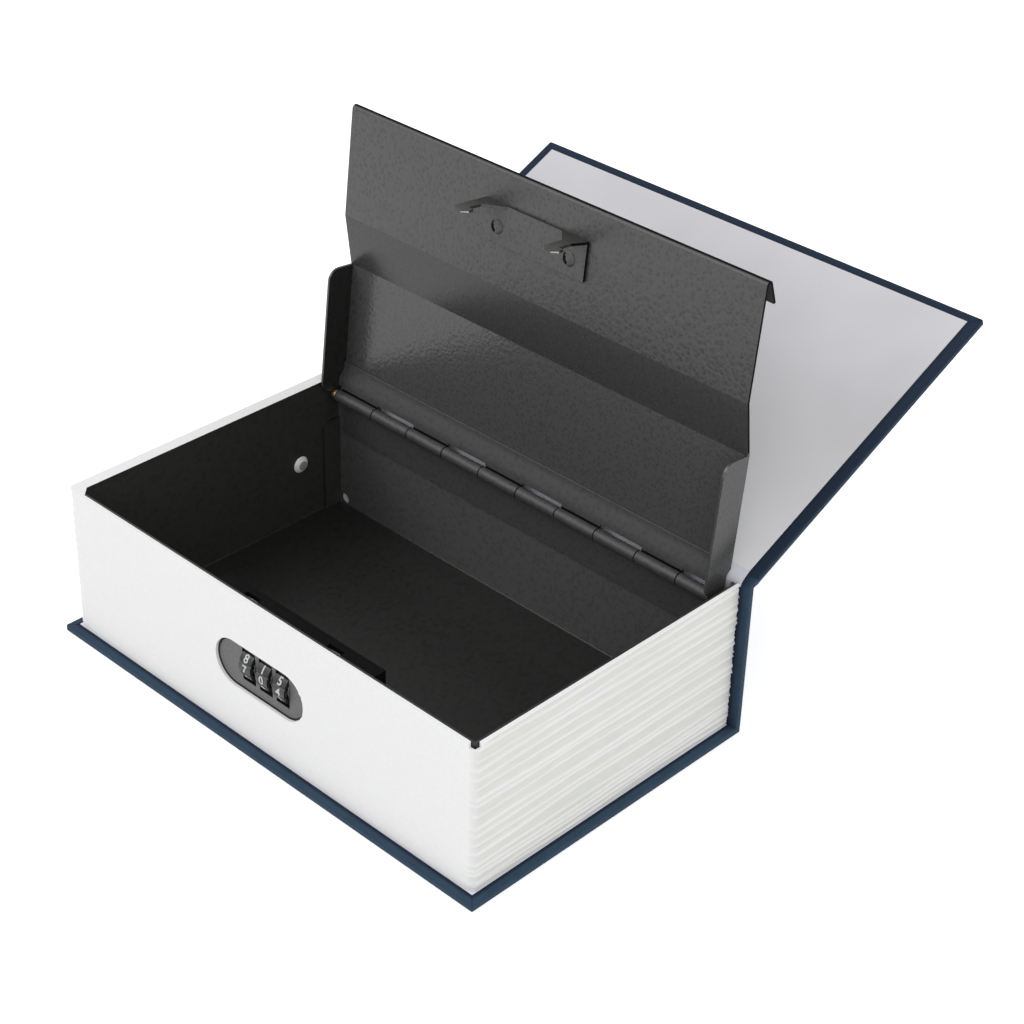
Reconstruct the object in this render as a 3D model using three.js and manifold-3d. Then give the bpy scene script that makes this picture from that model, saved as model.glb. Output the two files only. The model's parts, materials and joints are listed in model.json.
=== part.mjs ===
import * as THREE from "three";
import { mergeVertices } from "three/addons/utils/BufferGeometryUtils.js";
import Module from "manifold-3d";

// A book safe: a dummy book in cloth-covered boards that hides a sheet-steel box. The box has a
// stepped lid on a piano hinge and a three-dial combination lock in its fore edge.
// Millimetres. X runs along the fore edge, Y from the fore edge to the spine, Z up.
// The origin is the middle of the back cover's underside. The book is shown open.

// Clearances shared by several pieces
const seat = 0.1; // between pieces that are glued, welded or screwed together
const skinGap = 0.2; // between the page shell and the steel box
const running = 0.3; // between pieces that move past each other
const overrun = 1; // how far a cutting solid reaches past what it cuts

// Cloth-covered boards
const bookWidth = 180;
const bookDepth = 113;
const boardThickness = 2.3;
const boardRounding = 0.6;
const boardOverhang = 3.2; // boards past the page block at the head, tail and fore edge
const spineDrop = 1; // the spine board's top below the page block's rim
const paperThickness = 0.2;
const endPaperBorder = 4.6; // cloth left bare round the end paper of the front cover
const coverOpening = 155.2; // degrees from shut to the shown position
const coverAxisInset = 0.2; // cloth joint's axis, in from the spine's outer face
const coverAxisRise = 0.3; // the axis above the shut cover's inner face
const coverRootGap = 1.2; // from the axis to the cover board's near edge
const coverClearance = 0.2; // between the page block's rim and the shut cover
const coverForeReach = 0.6; // the shut cover past the back cover at the fore edge
const foldReach = 1.3; // how far the cloth joint's inner face leans on before it curves
const foldSteps = 8;
const jointPaperLap = 2.2; // the joint paper's reach up the cover board

// Page block
const blockHeight = 50.4;
const foreWall = 0.9;
const tailWall = 0.9;
const headWall = 2.4;
const blockCornerRadius = 2.2;
const ridgePitch = 2.3;
const ridgeDepth = 0.36;
const ridgeFade = 6; // ridges die out this far round the corner, on the fore edge
const lockHoleMargin = 0.6; // the shell's hole round the lock's faceplate

// Steel box
const sheet = 0.8;
const boxRimDrop = 0.3; // the box's rim below the page block's
const boxBendRadius = 1.2;
const backWallDrop = 7.7; // the back wall's top below the box's rim, level with its hinge leaf
const tabLength = 7.1; // the back wall's ends, folded on to the end walls
const tabTop = 36.8;
const tabCornerRadius = 3;
const reliefRadius = 1.9;
const boxRivetFromBack = 16.9;
const boxRivetHeight = 24.9;
const boxRivetHeadRadius = 3;
const boxRivetHeadRise = 1.5;
const boxRivetShankRadius = 1.5;

// Piano hinge
const lidAxisFromWall = 3.3;
const lidAxisDrop = 5.5; // the hinge axis below the page block's rim
const knuckleRadius = 2;
const pinRadius = 0.95;
const knuckleLeftInset = 2.5; // the first knuckle from the lid's left side
const knuckleRightInset = 1.5;
const knucklePitch = 16.2;
const firstKnuckle = 17.6;
const knuckleGap = 0.25;
const knuckleOpening = 72; // degrees that a rolled knuckle leaves open
const leafCutBack = 2.8; // the leaf's edge from the axis, beside the other leaf's knuckles
const boxLeafDepth = 15.3;
const boxLeafCrank = 2.9; // below the axis, where this leaf bends back to the wall
const lidLeafCrank = 5.6; // from the axis, where the lid's leaf bends up to the lid
const lidLeafCrankRun = 2.4;
const lidLeafLength = 10.8;
const pinHeadRadius = 1.9;
const pinHeadLength = 1.4;

// Lid, drawn shut: lengths run forwards from the hinge axis, heights up from it
const lidOpening = 96; // degrees from shut to the shown position
const lidSideGap = 1.5; // from the left wall of the box
const lidRightGap = 3;
const lidUnderside = 4; // the rear half's underside above the axis
const lidRearEdge = 8;
const lidRearLength = 44.9; // where the step starts
const lidStepRun = 17.5;
const lidStepDrop = 4.2;
const lidForeGap = 2.4; // from the box's front wall to the lid's fold
const hemBendRadius = 0.9;
const hemOpening = 24; // degrees between the lid and its hem
const hemLength = 7;
const flangeDepth = 10.6;
const flangeFrom = 1.4;
const flangeCornerRadius = 4;
const flangeNotchHeight = 3.2; // the flange's top behind the lid's rear edge
const flangeNotchLength = 6.5;

// Latch bracket, drawn with the lid shut
const bracketSetback = 9.3; // the teeth's front face behind the lid's fold
const bracketLeft = 22.3; // the bracket's left end from the lock's middle
const bracketRight = 19; // and its right end
const bracketSheet = 0.9;
const bracketBase = 12.5;
const toothBase = 10;
const toothNeck = 3.5;
const barbReach = 1.8;
const barbLength = 3.5;
const rightToothInset = 1.9; // room for the right tooth's barb
const bracketRivetSpacing = 29;
const bracketRivetSetback = 7.3; // behind the teeth's front face
const bracketRivetRadius = 1.3;
const bracketRivetHeadRadius = 2.4;
const bracketRivetHeadRise = 0.9;

// Combination lock
const lockDrop = 25.3; // the faceplate's middle below the page block's rim
const plateWidth = 36.8;
const plateHeight = 14.7;
const plateRecess = 1.05; // its face behind the page block's
const flangeWidth = 44;
const flangeHeight = 17.8;
const flangeThickness = 1;
const dialRadius = 5.6;
const dialWidth = 5;
const dialPitch = 7.3;
const dialOffset = 2; // the middle dial, right of the faceplate's middle
const dialDepth = 3.75; // the dial axis behind the faceplate's face
const dialRise = 1.1; // the dial axis above the faceplate's middle
const dialDigits = 10;
const dialNotchDepth = 0.35;
const dialNotchShare = 0.12; // of the angle between two digits, on each side of a notch
const dialBoreRadius = 4.2;
const sleeveRadius = 4;
const sleeveBore = 3.1;
const keyHeight = 0.55;
const keyWidth = 1;
const gateThickness = 0.6;
const gateBore = 1.65;
const gateWidth = 1.5;
const gateReach = 2.95;
const spindleRadius = 1.4;
const finReach = 2.7;
const finWidth = 1;
const bearingWall = 1.2;
const bearingGap = 1.6; // from the first and last sleeve to the bearing walls
const bearingHole = 3.2;
const caseWall = 1.2;
const caseFloorDrop = 11.2; // the case's underside below the faceplate's middle
const caseHeadroom = 0.5;
const caseDepth = 15.5;
const postSize = 4.4;
const postGap = 0.8; // between the posts and the latch bar at either end of its travel
const postDepth = 6;
const latchSheet = 1;
const latchRise = 8.9; // the bar's underside above the faceplate's middle
const latchEnd = 2.5; // the bar's left end past its left window
const latchArmEdge = 1.8; // from the right window to the arm
const latchBorder = 2.2; // metal in front of the latch bar's windows
const latchBackBorder = 1.1; // and behind them
const toothSwing = 1.2; // the teeth lean forwards this much as they leave
const backPlate = 1;
const screwRadius = 0.9;
const screwLength = 4.8;
const screwHeadRadius = 1.9;
const screwHeadRise = 1.2;
const screwSlotWidth = 0.5;
const screwSlotDepth = 0.6;
const detentSheet = 0.4;
const detentFinger = 3.6;
const detentTail = 7;
const springRadius = 1.8;
const springWire = 0.5;
const springTurns = 5;
const resetFromEnd = 11.2; // in from the case's right end
const resetBelow = 4.6; // below the faceplate's middle
const resetRadius = 4.3;
const resetThickness = 1.3;
const resetGripWidth = 1.6;
const resetGripRise = 1.2;
const resetShaftRadius = 1.4;
const resetShaftLength = 3;
const resetCamRadius = 2.6;
const resetCamThickness = 1;

// Places worked out from the sizes above
const halfWidth = bookWidth / 2;
const foreEdge = -bookDepth / 2;
const spineOuter = bookDepth / 2;
const spineInner = spineOuter - boardThickness;
const spineBottom = boardThickness + seat;
const blockSide = halfWidth - boardOverhang;
const blockFore = foreEdge + boardOverhang;
const spinePaper = spineInner - seat - paperThickness;
const blockBack = spinePaper - seat;
const blockBottom = boardThickness + seat + paperThickness + seat;
const blockTop = blockBottom + blockHeight;
const spineTop = blockTop - spineDrop;
const lockHeight = blockTop - lockDrop;
const boxLeft = -blockSide + headWall + skinGap;
const boxRight = blockSide - tailWall - skinGap;
const boxFront = blockFore + foreWall + skinGap;
const boxBack = blockBack - seat;
const boxBottom = blockBottom + seat;
const boxTop = blockTop - boxRimDrop;
const boxFloor = boxBottom + sheet;
const lidAxisY = boxBack - sheet - lidAxisFromWall;
const lidAxisZ = blockTop - lidAxisDrop;
const coverAxisY = spineOuter - coverAxisInset;
const coverInner = -coverAxisRise; // the shut cover board's inner face from the axis
const coverAxisZ = blockTop + coverClearance + paperThickness + seat + coverAxisRise;
const coverReach = coverAxisY - foreEdge + coverForeReach;
const lidFold = lidAxisY - (boxFront + sheet) - lidForeGap; // how far forward the lid reaches
const lidLeft = boxLeft + sheet + lidSideGap;
const lidRight = boxRight - sheet - lidRightGap;
const knuckleFrom = lidLeft + knuckleLeftInset;
const knuckleTo = lidRight - knuckleRightInset;
const lidFrontUnderside = lidUnderside - lidStepDrop;
const toothFront = lidFold - bracketSetback - hemBendRadius;
const bracketTop = lidFrontUnderside - seat;
const bracketBottom = bracketTop - bracketSheet;
const plateFace = blockFore + plateRecess;
const flangeFace = boxFront + sheet + seat;
const flangeBack = flangeFace + flangeThickness;
const dialY = plateFace + dialDepth;
const dialZ = lockHeight + dialRise;
const dialPlaces = [-1, 0, 1].map((step) => dialOffset + step * dialPitch);
const latchBottom = lockHeight + latchRise;
const latchTop = latchBottom + latchSheet;
const latchTravel = 2 * gateThickness + 2 * running;
const barbTop = latchBottom - running - lidAxisZ;
const toothTip = barbTop - barbLength;
const toothWaist = (bracketBottom + barbTop) / 2; // where the tooth's taper ends
const caseTop = latchTop + caseHeadroom + caseWall;
const caseBottom = lockHeight - caseFloorDrop;
const caseBack = flangeFace + caseDepth;
const toothBackY = lidAxisY - toothFront + bracketSheet;
const toothFrontY = lidAxisY - toothFront;
const toothNecks = [-bracketLeft, bracketRight - rightToothInset - toothNeck];
const latchLeft = toothNecks[0] - running - latchEnd;
const latchArm = toothNecks[1] + toothNeck + barbReach + running + latchArmEdge;
const latchReach = Math.max(latchArm + latchSheet, -latchLeft); // from the lock's middle
const innerHalf = latchReach + latchTravel + postGap + postSize;
const caseHalfWidth = innerHalf + caseWall;
const resetAcross = caseHalfWidth - resetFromEnd;

const wasm = await Module();
wasm.setup();

const point = (x, y) => new THREE.Vector2(x, y);
const radians = THREE.MathUtils.degToRad;

function toSolid(geometry) {
  const bare = geometry.clone();
  bare.deleteAttribute("normal");
  bare.deleteAttribute("uv");
  const merged = mergeVertices(bare);
  return new wasm.Manifold(
    new wasm.Mesh({
      numProp: 3,
      vertProperties: merged.attributes.position.array,
      triVerts: new Uint32Array(merged.index.array),
    }),
  );
}

function toGeometry(solid) {
  const { vertProperties, triVerts } = solid.getMesh();
  const indexed = new THREE.BufferGeometry();
  indexed.setAttribute("position", new THREE.BufferAttribute(new Float32Array(vertProperties), 3));
  indexed.setIndex(new THREE.BufferAttribute(new Uint32Array(triVerts), 1));
  const flat = indexed.toNonIndexed();
  flat.computeVertexNormals();
  return flat;
}

function join(...pieces) {
  return toGeometry(pieces.map(toSolid).reduce((whole, piece) => whole.add(piece)));
}

function cut(piece, ...tools) {
  return toGeometry(tools.map(toSolid).reduce((left, tool) => left.subtract(tool), toSolid(piece)));
}

function box(x0, x1, y0, y1, z0, z1) {
  const block = new THREE.BoxGeometry(x1 - x0, y1 - y0, z1 - z0);
  return block.translate((x0 + x1) / 2, (y0 + y1) / 2, (z0 + z1) / 2);
}

// A profile drawn in Y and Z, extruded along X
function alongX(shape, x0, x1, curveSegments = 12) {
  const solid = new THREE.ExtrudeGeometry(shape, {
    depth: x1 - x0,
    bevelEnabled: false,
    curveSegments,
  });
  const turn = new THREE.Matrix4().makeBasis(
    new THREE.Vector3(0, 1, 0),
    new THREE.Vector3(0, 0, 1),
    new THREE.Vector3(1, 0, 0),
  );
  return solid.applyMatrix4(turn).translate(x0, 0, 0);
}

// A profile drawn in X and Z, extruded along Y
function alongY(shape, y0, y1, curveSegments = 12) {
  const solid = new THREE.ExtrudeGeometry(shape, {
    depth: y1 - y0,
    bevelEnabled: false,
    curveSegments,
  });
  return solid.rotateX(Math.PI / 2).translate(0, y1, 0);
}

function roundedRectangle(x0, x1, y0, y1, radius) {
  const shape = new THREE.Shape();
  shape.moveTo(x0 + radius, y0);
  shape.lineTo(x1 - radius, y0);
  shape.absarc(x1 - radius, y0 + radius, radius, -Math.PI / 2, 0);
  shape.lineTo(x1, y1 - radius);
  shape.absarc(x1 - radius, y1 - radius, radius, 0, Math.PI / 2);
  shape.lineTo(x0 + radius, y1);
  shape.absarc(x0 + radius, y1 - radius, radius, Math.PI / 2, Math.PI);
  shape.lineTo(x0, y0 + radius);
  shape.absarc(x0 + radius, y0 + radius, radius, Math.PI, 1.5 * Math.PI);
  return shape;
}

// An upright plate with semicircular ends, centred on x and z
function stadium(x, z, width, height) {
  const halfLength = width / 2;
  const radius = height / 2;
  return roundedRectangle(x - halfLength, x + halfLength, z - radius, z + radius, radius);
}

function disc(x, y, radius) {
  return new THREE.Shape().absarc(x, y, radius, 0, 2 * Math.PI);
}

function arc(x, y, radius, from, to, steps) {
  return Array.from({ length: steps + 1 }, (_, i) => {
    const angle = radians(from + ((to - from) * i) / steps);
    return point(x + radius * Math.cos(angle), y + radius * Math.sin(angle));
  });
}

// The outline of bent sheet: a centre line, given a thickness, with mitred bends
function sheetOutline(line, thickness) {
  const near = [];
  const far = [];
  line.forEach((place, i) => {
    const into = i > 0 ? place.clone().sub(line[i - 1]) : line[1].clone().sub(place);
    const out = i < line.length - 1 ? line[i + 1].clone().sub(place) : into.clone();
    const sideIn = point(-into.y, into.x).normalize();
    const sideOut = point(-out.y, out.x).normalize();
    const mitre = sideIn.clone().add(sideOut).normalize();
    const reach = thickness / 2 / mitre.dot(sideIn);
    near.push(place.clone().addScaledVector(mitre, reach));
    far.push(place.clone().addScaledVector(mitre, -reach));
  });
  return new THREE.Shape([...near, ...far.reverse()]);
}

// A closed solid through stacked rings of as many points each, listed anticlockwise from above
function loft(rings) {
  const count = rings[0].length;
  const index = [];
  for (let level = 0; level < rings.length - 1; level++) {
    for (let i = 0; i < count; i++) {
      const a = level * count + i;
      const b = level * count + ((i + 1) % count);
      index.push(a, b, b + count, a, b + count, a + count);
    }
  }
  const cap = (ring) => THREE.ShapeUtils.triangulateShape(ring.map((p) => point(p.x, p.y)), []);
  cap(rings[0]).forEach(([a, b, c]) => index.push(c, b, a));
  const top = count * (rings.length - 1);
  cap(rings.at(-1)).forEach(([a, b, c]) => index.push(top + a, top + b, top + c));
  const solid = new THREE.BufferGeometry().setFromPoints(rings.flat());
  return solid.setIndex(index);
}

const finish = (color, roughness, metalness = 0) =>
  new THREE.MeshStandardMaterial({ color, roughness, metalness });
const bookCloth = finish(0x2a4258, 0.75);
const endPaper = finish(0xe6e6ee, 0.9);
const pagePlastic = finish(0xf0f0ee, 0.8);
const blackEnamel = finish(0x1c1c1a, 0.4);
const hammeredEnamel = finish(0x4c4c4d, 0.35);
const brass = finish(0xb09a62, 0.35, 0.9);
const brightSteel = finish(0xc9c9c6, 0.35, 0.9);
const lockGrey = finish(0x6c6c6c, 0.5);
const dialBlack = finish(0x111111, 0.4);

const book = new THREE.Group();

function add(parent, name, geometry, material) {
  const mesh = new THREE.Mesh(geometry, material);
  mesh.name = name;
  parent.add(mesh);
}

// Back cover: board in book cloth, the whole underside of the book
const boardOutline = (y0, y1, z0, z1) => roundedRectangle(y0, y1, z0, z1, boardRounding);
const backBoard = boardOutline(foreEdge, spineOuter, 0, boardThickness);
add(book, "back_cover", alongX(backBoard, -halfWidth, halfWidth, 4), bookCloth);

// Back end paper: one sheet glued on the board under the page block
const backPaperZ = boardThickness + seat;
add(
  book,
  "back_pastedown",
  box(-blockSide, blockSide, blockFore, blockBack, backPaperZ, backPaperZ + paperThickness),
  endPaper,
);

// Spine board: stands on the back cover behind the page block
const spineBoard = boardOutline(spineInner, spineOuter, spineBottom, spineTop);
add(book, "spine_board", alongX(spineBoard, -halfWidth, halfWidth, 4), bookCloth);

// Front cover: drawn shut about the cloth joint's axis, then swung open
const cover = new THREE.Group();
cover.position.set(0, coverAxisY, coverAxisZ);
cover.rotation.x = -radians(coverOpening);
book.add(cover);
const coverOuter = coverInner + boardThickness;
const coverBoard = boardOutline(-coverReach, -coverRootGap, coverInner, coverOuter);
add(cover, "front_cover", alongX(coverBoard, -halfWidth, halfWidth, 4), bookCloth);

// Front end paper: glued inside the front cover, with a border of cloth on three sides
const pastedownTop = coverInner - seat;
const pastedownSide = halfWidth - endPaperBorder;
add(
  cover,
  "front_pastedown",
  box(
    -pastedownSide,
    pastedownSide,
    endPaperBorder - coverReach,
    -jointPaperLap - running,
    pastedownTop - paperThickness,
    pastedownTop,
  ),
  endPaper,
);

// A place on the opened cover, in Y and Z: so far from the axis, so far towards its outer face
function onCover(reach, outward) {
  const angle = Math.PI - radians(coverOpening);
  return point(
    coverAxisY + reach * Math.cos(angle) + outward * Math.sin(angle),
    coverAxisZ + reach * Math.sin(angle) - outward * Math.cos(angle),
  );
}

// Spine lining: end paper glued on the spine board's inner face, behind the page block
add(
  book,
  "spine_lining",
  box(-blockSide, blockSide, spinePaper, spinePaper + paperThickness, blockBottom, spineTop),
  endPaper,
);

// Cloth joint: the padded fold of book cloth from the spine's top edge to the cover's near edge
const foldFrom = spineTop + seat;
const foldTo = coverRootGap - seat;
const foldCurve = new THREE.CubicBezierCurve(
  point(spineInner, foldFrom),
  point(spineInner, foldFrom + foldReach),
  onCover(foldTo - foldReach, coverInner),
  onCover(foldTo, coverInner),
);
const foldLine = foldCurve.getPoints(foldSteps);
const foldShape = new THREE.Shape([
  point(spineOuter, foldFrom),
  onCover(foldTo, coverOuter),
  ...foldLine.toReversed(),
]);
add(book, "joint_cloth", alongX(foldShape, -halfWidth, halfWidth), bookCloth);

// Paper joint: the end paper over the fold, from the spine's lining to the cover's end paper
const paperOffset = seat + paperThickness / 2;
const paperLine = foldLine.map((place, i) => {
  const along = foldCurve.getTangent(i / foldSteps);
  return place.clone().addScaledVector(point(-along.y, along.x), paperOffset);
});
paperLine.push(onCover(jointPaperLap, pastedownTop - paperThickness / 2));
const paperJoint = sheetOutline(paperLine, paperThickness);
add(book, "joint_paper", alongX(paperJoint, -blockSide, blockSide), endPaper);

// Page block: a U-shaped shell round the steel box, with page ridges on its two ends
function pageRing(z) {
  const turns = Math.round(blockHeight / ridgePitch);
  const phase = ((z - blockBottom) / blockHeight) * turns * 2 * Math.PI;
  const depth = (ridgeDepth * (1 - Math.cos(phase))) / 2;
  const r = blockCornerRadius;
  const headSide = depth - blockSide;
  const tailSide = blockSide - depth;
  const fade = ridgeFade + r - blockSide;
  const outside = [
    point(headSide, blockBack),
    ...arc(headSide + r, blockFore + r, r, 180, 270, 4),
    point(fade, blockFore),
    point(-fade, blockFore),
    ...arc(tailSide - r, blockFore + r, r, 270, 360, 4),
    point(tailSide, blockBack),
  ];
  const inside = [
    point(blockSide - tailWall, blockBack),
    point(blockSide - tailWall, blockFore + foreWall),
    point(headWall - blockSide, blockFore + foreWall),
    point(headWall - blockSide, blockBack),
  ];
  return [...outside, ...inside].map((p) => new THREE.Vector3(p.x, p.y, z));
}
const pageSteps = 2 * Math.round(blockHeight / ridgePitch);
const pageRings = Array.from({ length: pageSteps + 1 }, (_, i) =>
  pageRing(blockBottom + (blockHeight * i) / pageSteps),
);
const shellHole = alongY(
  stadium(0, lockHeight, plateWidth + 2 * lockHoleMargin, plateHeight + 2 * lockHoleMargin),
  blockFore - overrun,
  blockFore + foreWall + overrun,
);
add(book, "page_block", cut(loft(pageRings), shellHole), pagePlastic);

// Steel box: folded sheet with rounded bends, corner tabs, relief holes and the lock's cut-out
function roundedTub(x0, x1, y0, y1, z0, z1, radius) {
  const steps = 3;
  const ring = (inset, z) => {
    const corner = Math.max(radius - inset, radius / steps);
    return [
      ...arc(x1 - inset - corner, y0 + inset + corner, corner, 270, 360, steps),
      ...arc(x1 - inset - corner, y1 - inset - corner, corner, 0, 90, steps),
      ...arc(x0 + inset + corner, y1 - inset - corner, corner, 90, 180, steps),
      ...arc(x0 + inset + corner, y0 + inset + corner, corner, 180, 270, steps),
    ].map((p) => new THREE.Vector3(p.x, p.y, z));
  };
  const bend = arc(radius, radius, radius, 270, 180, steps);
  return loft([...bend.map((p) => ring(p.x, z0 + p.y)), ring(0, z1)]);
}
const boxSolid = roundedTub(
  boxLeft,
  boxRight,
  boxFront,
  boxBack,
  boxBottom,
  boxTop,
  boxBendRadius,
);
const boxHollow = roundedTub(
  boxLeft + sheet,
  boxRight - sheet,
  boxFront + sheet,
  boxBack - sheet,
  boxFloor,
  boxTop + overrun,
  boxBendRadius - sheet,
);
const wallInner = boxBack - sheet;
const tabShape = new THREE.Shape([
  point(wallInner + sheet / 2, boxFloor - sheet / 2),
  point(wallInner + sheet / 2, tabTop),
  ...arc(
    wallInner - tabLength + tabCornerRadius,
    tabTop - tabCornerRadius,
    tabCornerRadius,
    90,
    180,
    4,
  ),
  point(wallInner - tabLength, boxFloor - sheet / 2),
]);
const leftTab = alongX(tabShape, boxLeft + sheet / 2, boxLeft + 2 * sheet);
const rightTab = alongX(tabShape, boxRight - 2 * sheet, boxRight - sheet / 2);
const reliefZ = boxFloor + reliefRadius;
const reliefAt = (x) =>
  alongY(disc(x, reliefZ, reliefRadius), wallInner - overrun, boxBack + overrun, 8);
const boxLockHole = alongY(
  stadium(0, lockHeight, plateWidth + 2 * running, plateHeight + 2 * running),
  boxFront - overrun,
  flangeFace,
);
const rivetY = wallInner - boxRivetFromBack;
const rivetHole = alongX(
  disc(rivetY, boxRivetHeight, boxRivetShankRadius + seat),
  boxLeft - overrun,
  boxRight + overrun,
  6,
);
const backWallCut = box(
  boxLeft + 2 * sheet,
  boxRight - 2 * sheet,
  wallInner - overrun,
  boxBack + overrun,
  boxTop - backWallDrop,
  boxTop + overrun,
);
const tub = cut(boxSolid, boxHollow, backWallCut);
add(
  book,
  "tray",
  cut(
    join(tub, leftTab, rightTab),
    boxLockHole,
    reliefAt(boxLeft + 2 * sheet + reliefRadius),
    reliefAt(boxRight - 2 * sheet - reliefRadius),
    rivetHole,
  ),
  blackEnamel,
);

// Rivets in the box's end walls: a domed head inside and a shank through the wall
function rivet(headRadius, headRise, shankRadius, shankLength) {
  const sphere = (headRadius ** 2 + headRise ** 2) / (2 * headRise);
  const edge = THREE.MathUtils.radToDeg(Math.asin(headRadius / sphere));
  const dome = arc(0, headRise - sphere, sphere, 90, 90 - edge, 4);
  const profile = [
    ...dome.map((p, i) => point(i ? p.x : 0, p.y)),
    point(shankRadius, 0),
    point(shankRadius, -shankLength),
    point(0, -shankLength),
  ].reverse();
  return new THREE.LatheGeometry(profile, 16); // stands on its head's underside, head up
}
const boxRivet = () =>
  rivet(boxRivetHeadRadius, boxRivetHeadRise, boxRivetShankRadius, seat + sheet);
add(
  book,
  "tray_rivet_left",
  boxRivet().rotateZ(-Math.PI / 2).translate(boxLeft + sheet + seat, rivetY, boxRivetHeight),
  brightSteel,
);
add(
  book,
  "tray_rivet_right",
  boxRivet().rotateZ(Math.PI / 2).translate(boxRight - sheet - seat, rivetY, boxRivetHeight),
  brightSteel,
);

// Piano hinge: ten rolled knuckles, taken in turn by the lid's leaf and the box's
const knuckleLine = knuckleRadius - sheet / 2;
const knuckleEnds = [knuckleFrom];
for (let x = knuckleFrom + firstKnuckle; x < knuckleTo - knucklePitch / 2; x += knucklePitch) {
  knuckleEnds.push(x);
}
knuckleEnds.push(knuckleTo);
const knucklesOf = (first) =>
  knuckleEnds
    .slice(0, -1)
    .map((x, i) => [x + knuckleGap / 2, knuckleEnds[i + 1] - knuckleGap / 2])
    .filter((_, i) => i % 2 === first);

// A leaf's plate between its two ends, and its knuckles, each rolled round the pin from the plate
function hingeLeaf(curl, plateLine, [plateFrom, plateTo], first) {
  const plate = alongX(sheetOutline(plateLine, sheet), plateFrom, plateTo);
  const knuckle = sheetOutline(curl, sheet);
  return join(plate, ...knucklesOf(first).map(([x0, x1]) => alongX(knuckle, x0, x1)));
}
const boxLeafLine = wallInner - seat - sheet / 2 - lidAxisY;
const boxPlate = [point(boxLeafLine, -boxLeafCrank), point(boxLeafLine, -boxLeafDepth)];
const boxCurl = [
  ...arc(0, 0, knuckleLine, 360 - knuckleOpening, 0, 16),
  point(knuckleLine, -boxLeafCrank / 2),
  ...boxPlate,
];
add(
  book,
  "hinge_leaf_tray",
  hingeLeaf(boxCurl, boxPlate, [knuckleFrom, knuckleTo], 1).translate(0, lidAxisY, lidAxisZ),
  blackEnamel,
);
const pinHeadEnd = knuckleFrom - seat;
const pinFrom = pinHeadEnd - pinHeadLength;
const pinShank = alongX(disc(lidAxisY, lidAxisZ, pinRadius), pinFrom, knuckleTo + seat, 8);
const pinHead = alongX(disc(lidAxisY, lidAxisZ, pinHeadRadius), pinFrom, pinHeadEnd, 16);
add(book, "hinge_pin", join(pinShank, pinHead), brass);

// Lid: drawn shut about the hinge axis, then turned up past the vertical
const lid = new THREE.Group();
lid.position.set(0, lidAxisY, lidAxisZ);
lid.rotation.x = -radians(lidOpening);
book.add(lid);
const lidLeafLine = lidUnderside - seat - sheet / 2;
const lidCrank = [
  point(-lidLeafCrank, knuckleLine),
  point(-lidLeafCrank - lidLeafCrankRun, lidLeafLine),
  point(-lidLeafLength, lidLeafLine),
];
const lidPlate = [point(-leafCutBack, knuckleLine), ...lidCrank];
const lidCurl = [...arc(0, 0, knuckleLine, knuckleOpening - 270, 90, 16), ...lidCrank];
const lidLeafEnds = [lidLeft + sheet + seat, lidRight - sheet - seat];
add(lid, "hinge_leaf_lid", hingeLeaf(lidCurl, lidPlate, lidLeafEnds, 0), hammeredEnamel);

const rearLine = lidUnderside + sheet / 2;
const frontLine = rearLine - lidStepDrop;
const foldStart = lidFold - hemBendRadius - sheet / 2;
const hemBend = arc(-foldStart, frontLine + hemBendRadius, hemBendRadius, 270, 90 + hemOpening, 8);
const hemEnd = hemBend
  .at(-1)
  .clone()
  .add(point(hemLength, 0).rotateAround(point(0, 0), radians(hemOpening)));
const lidLine = [
  point(-lidRearEdge, rearLine),
  point(-lidRearLength, rearLine),
  point(-lidRearLength - lidStepRun, frontLine),
  ...hemBend,
  hemEnd,
];
const flangeBottom = rearLine + sheet / 2 - flangeDepth;
const flangeShape = new THREE.Shape([
  point(-lidRearEdge, rearLine),
  point(-lidRearLength, rearLine),
  ...arc(
    flangeCornerRadius - lidRearLength,
    flangeBottom + flangeCornerRadius,
    flangeCornerRadius,
    180,
    270,
    5,
  ),
  ...arc(
    -flangeFrom - flangeCornerRadius,
    flangeBottom + flangeCornerRadius,
    flangeCornerRadius,
    270,
    360,
    5,
  ),
  point(-flangeFrom, flangeNotchHeight),
  point(-flangeNotchLength, flangeNotchHeight),
]);
const lidSolid = join(
  alongX(sheetOutline(lidLine, sheet), lidLeft, lidRight),
  alongX(flangeShape, lidLeft, lidLeft + sheet),
  alongX(flangeShape, lidRight - sheet, lidRight),
);
const bracketRivetY = bracketRivetSetback - toothFront;
const bracketMiddle = (bracketRight - bracketLeft) / 2;
const bracketRivets = [-1, 1].map((side) => bracketMiddle + (side * bracketRivetSpacing) / 2);
const uprightHole = (x) =>
  new THREE.CylinderGeometry(
    bracketRivetRadius + seat,
    bracketRivetRadius + seat,
    2 * (bracketSheet + sheet) + 2 * seat,
    16,
  )
    .rotateX(Math.PI / 2)
    .translate(x, bracketRivetY, lidFrontUnderside);
add(lid, "lid", cut(lidSolid, ...bracketRivets.map(uprightHole)), hammeredEnamel);

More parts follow.
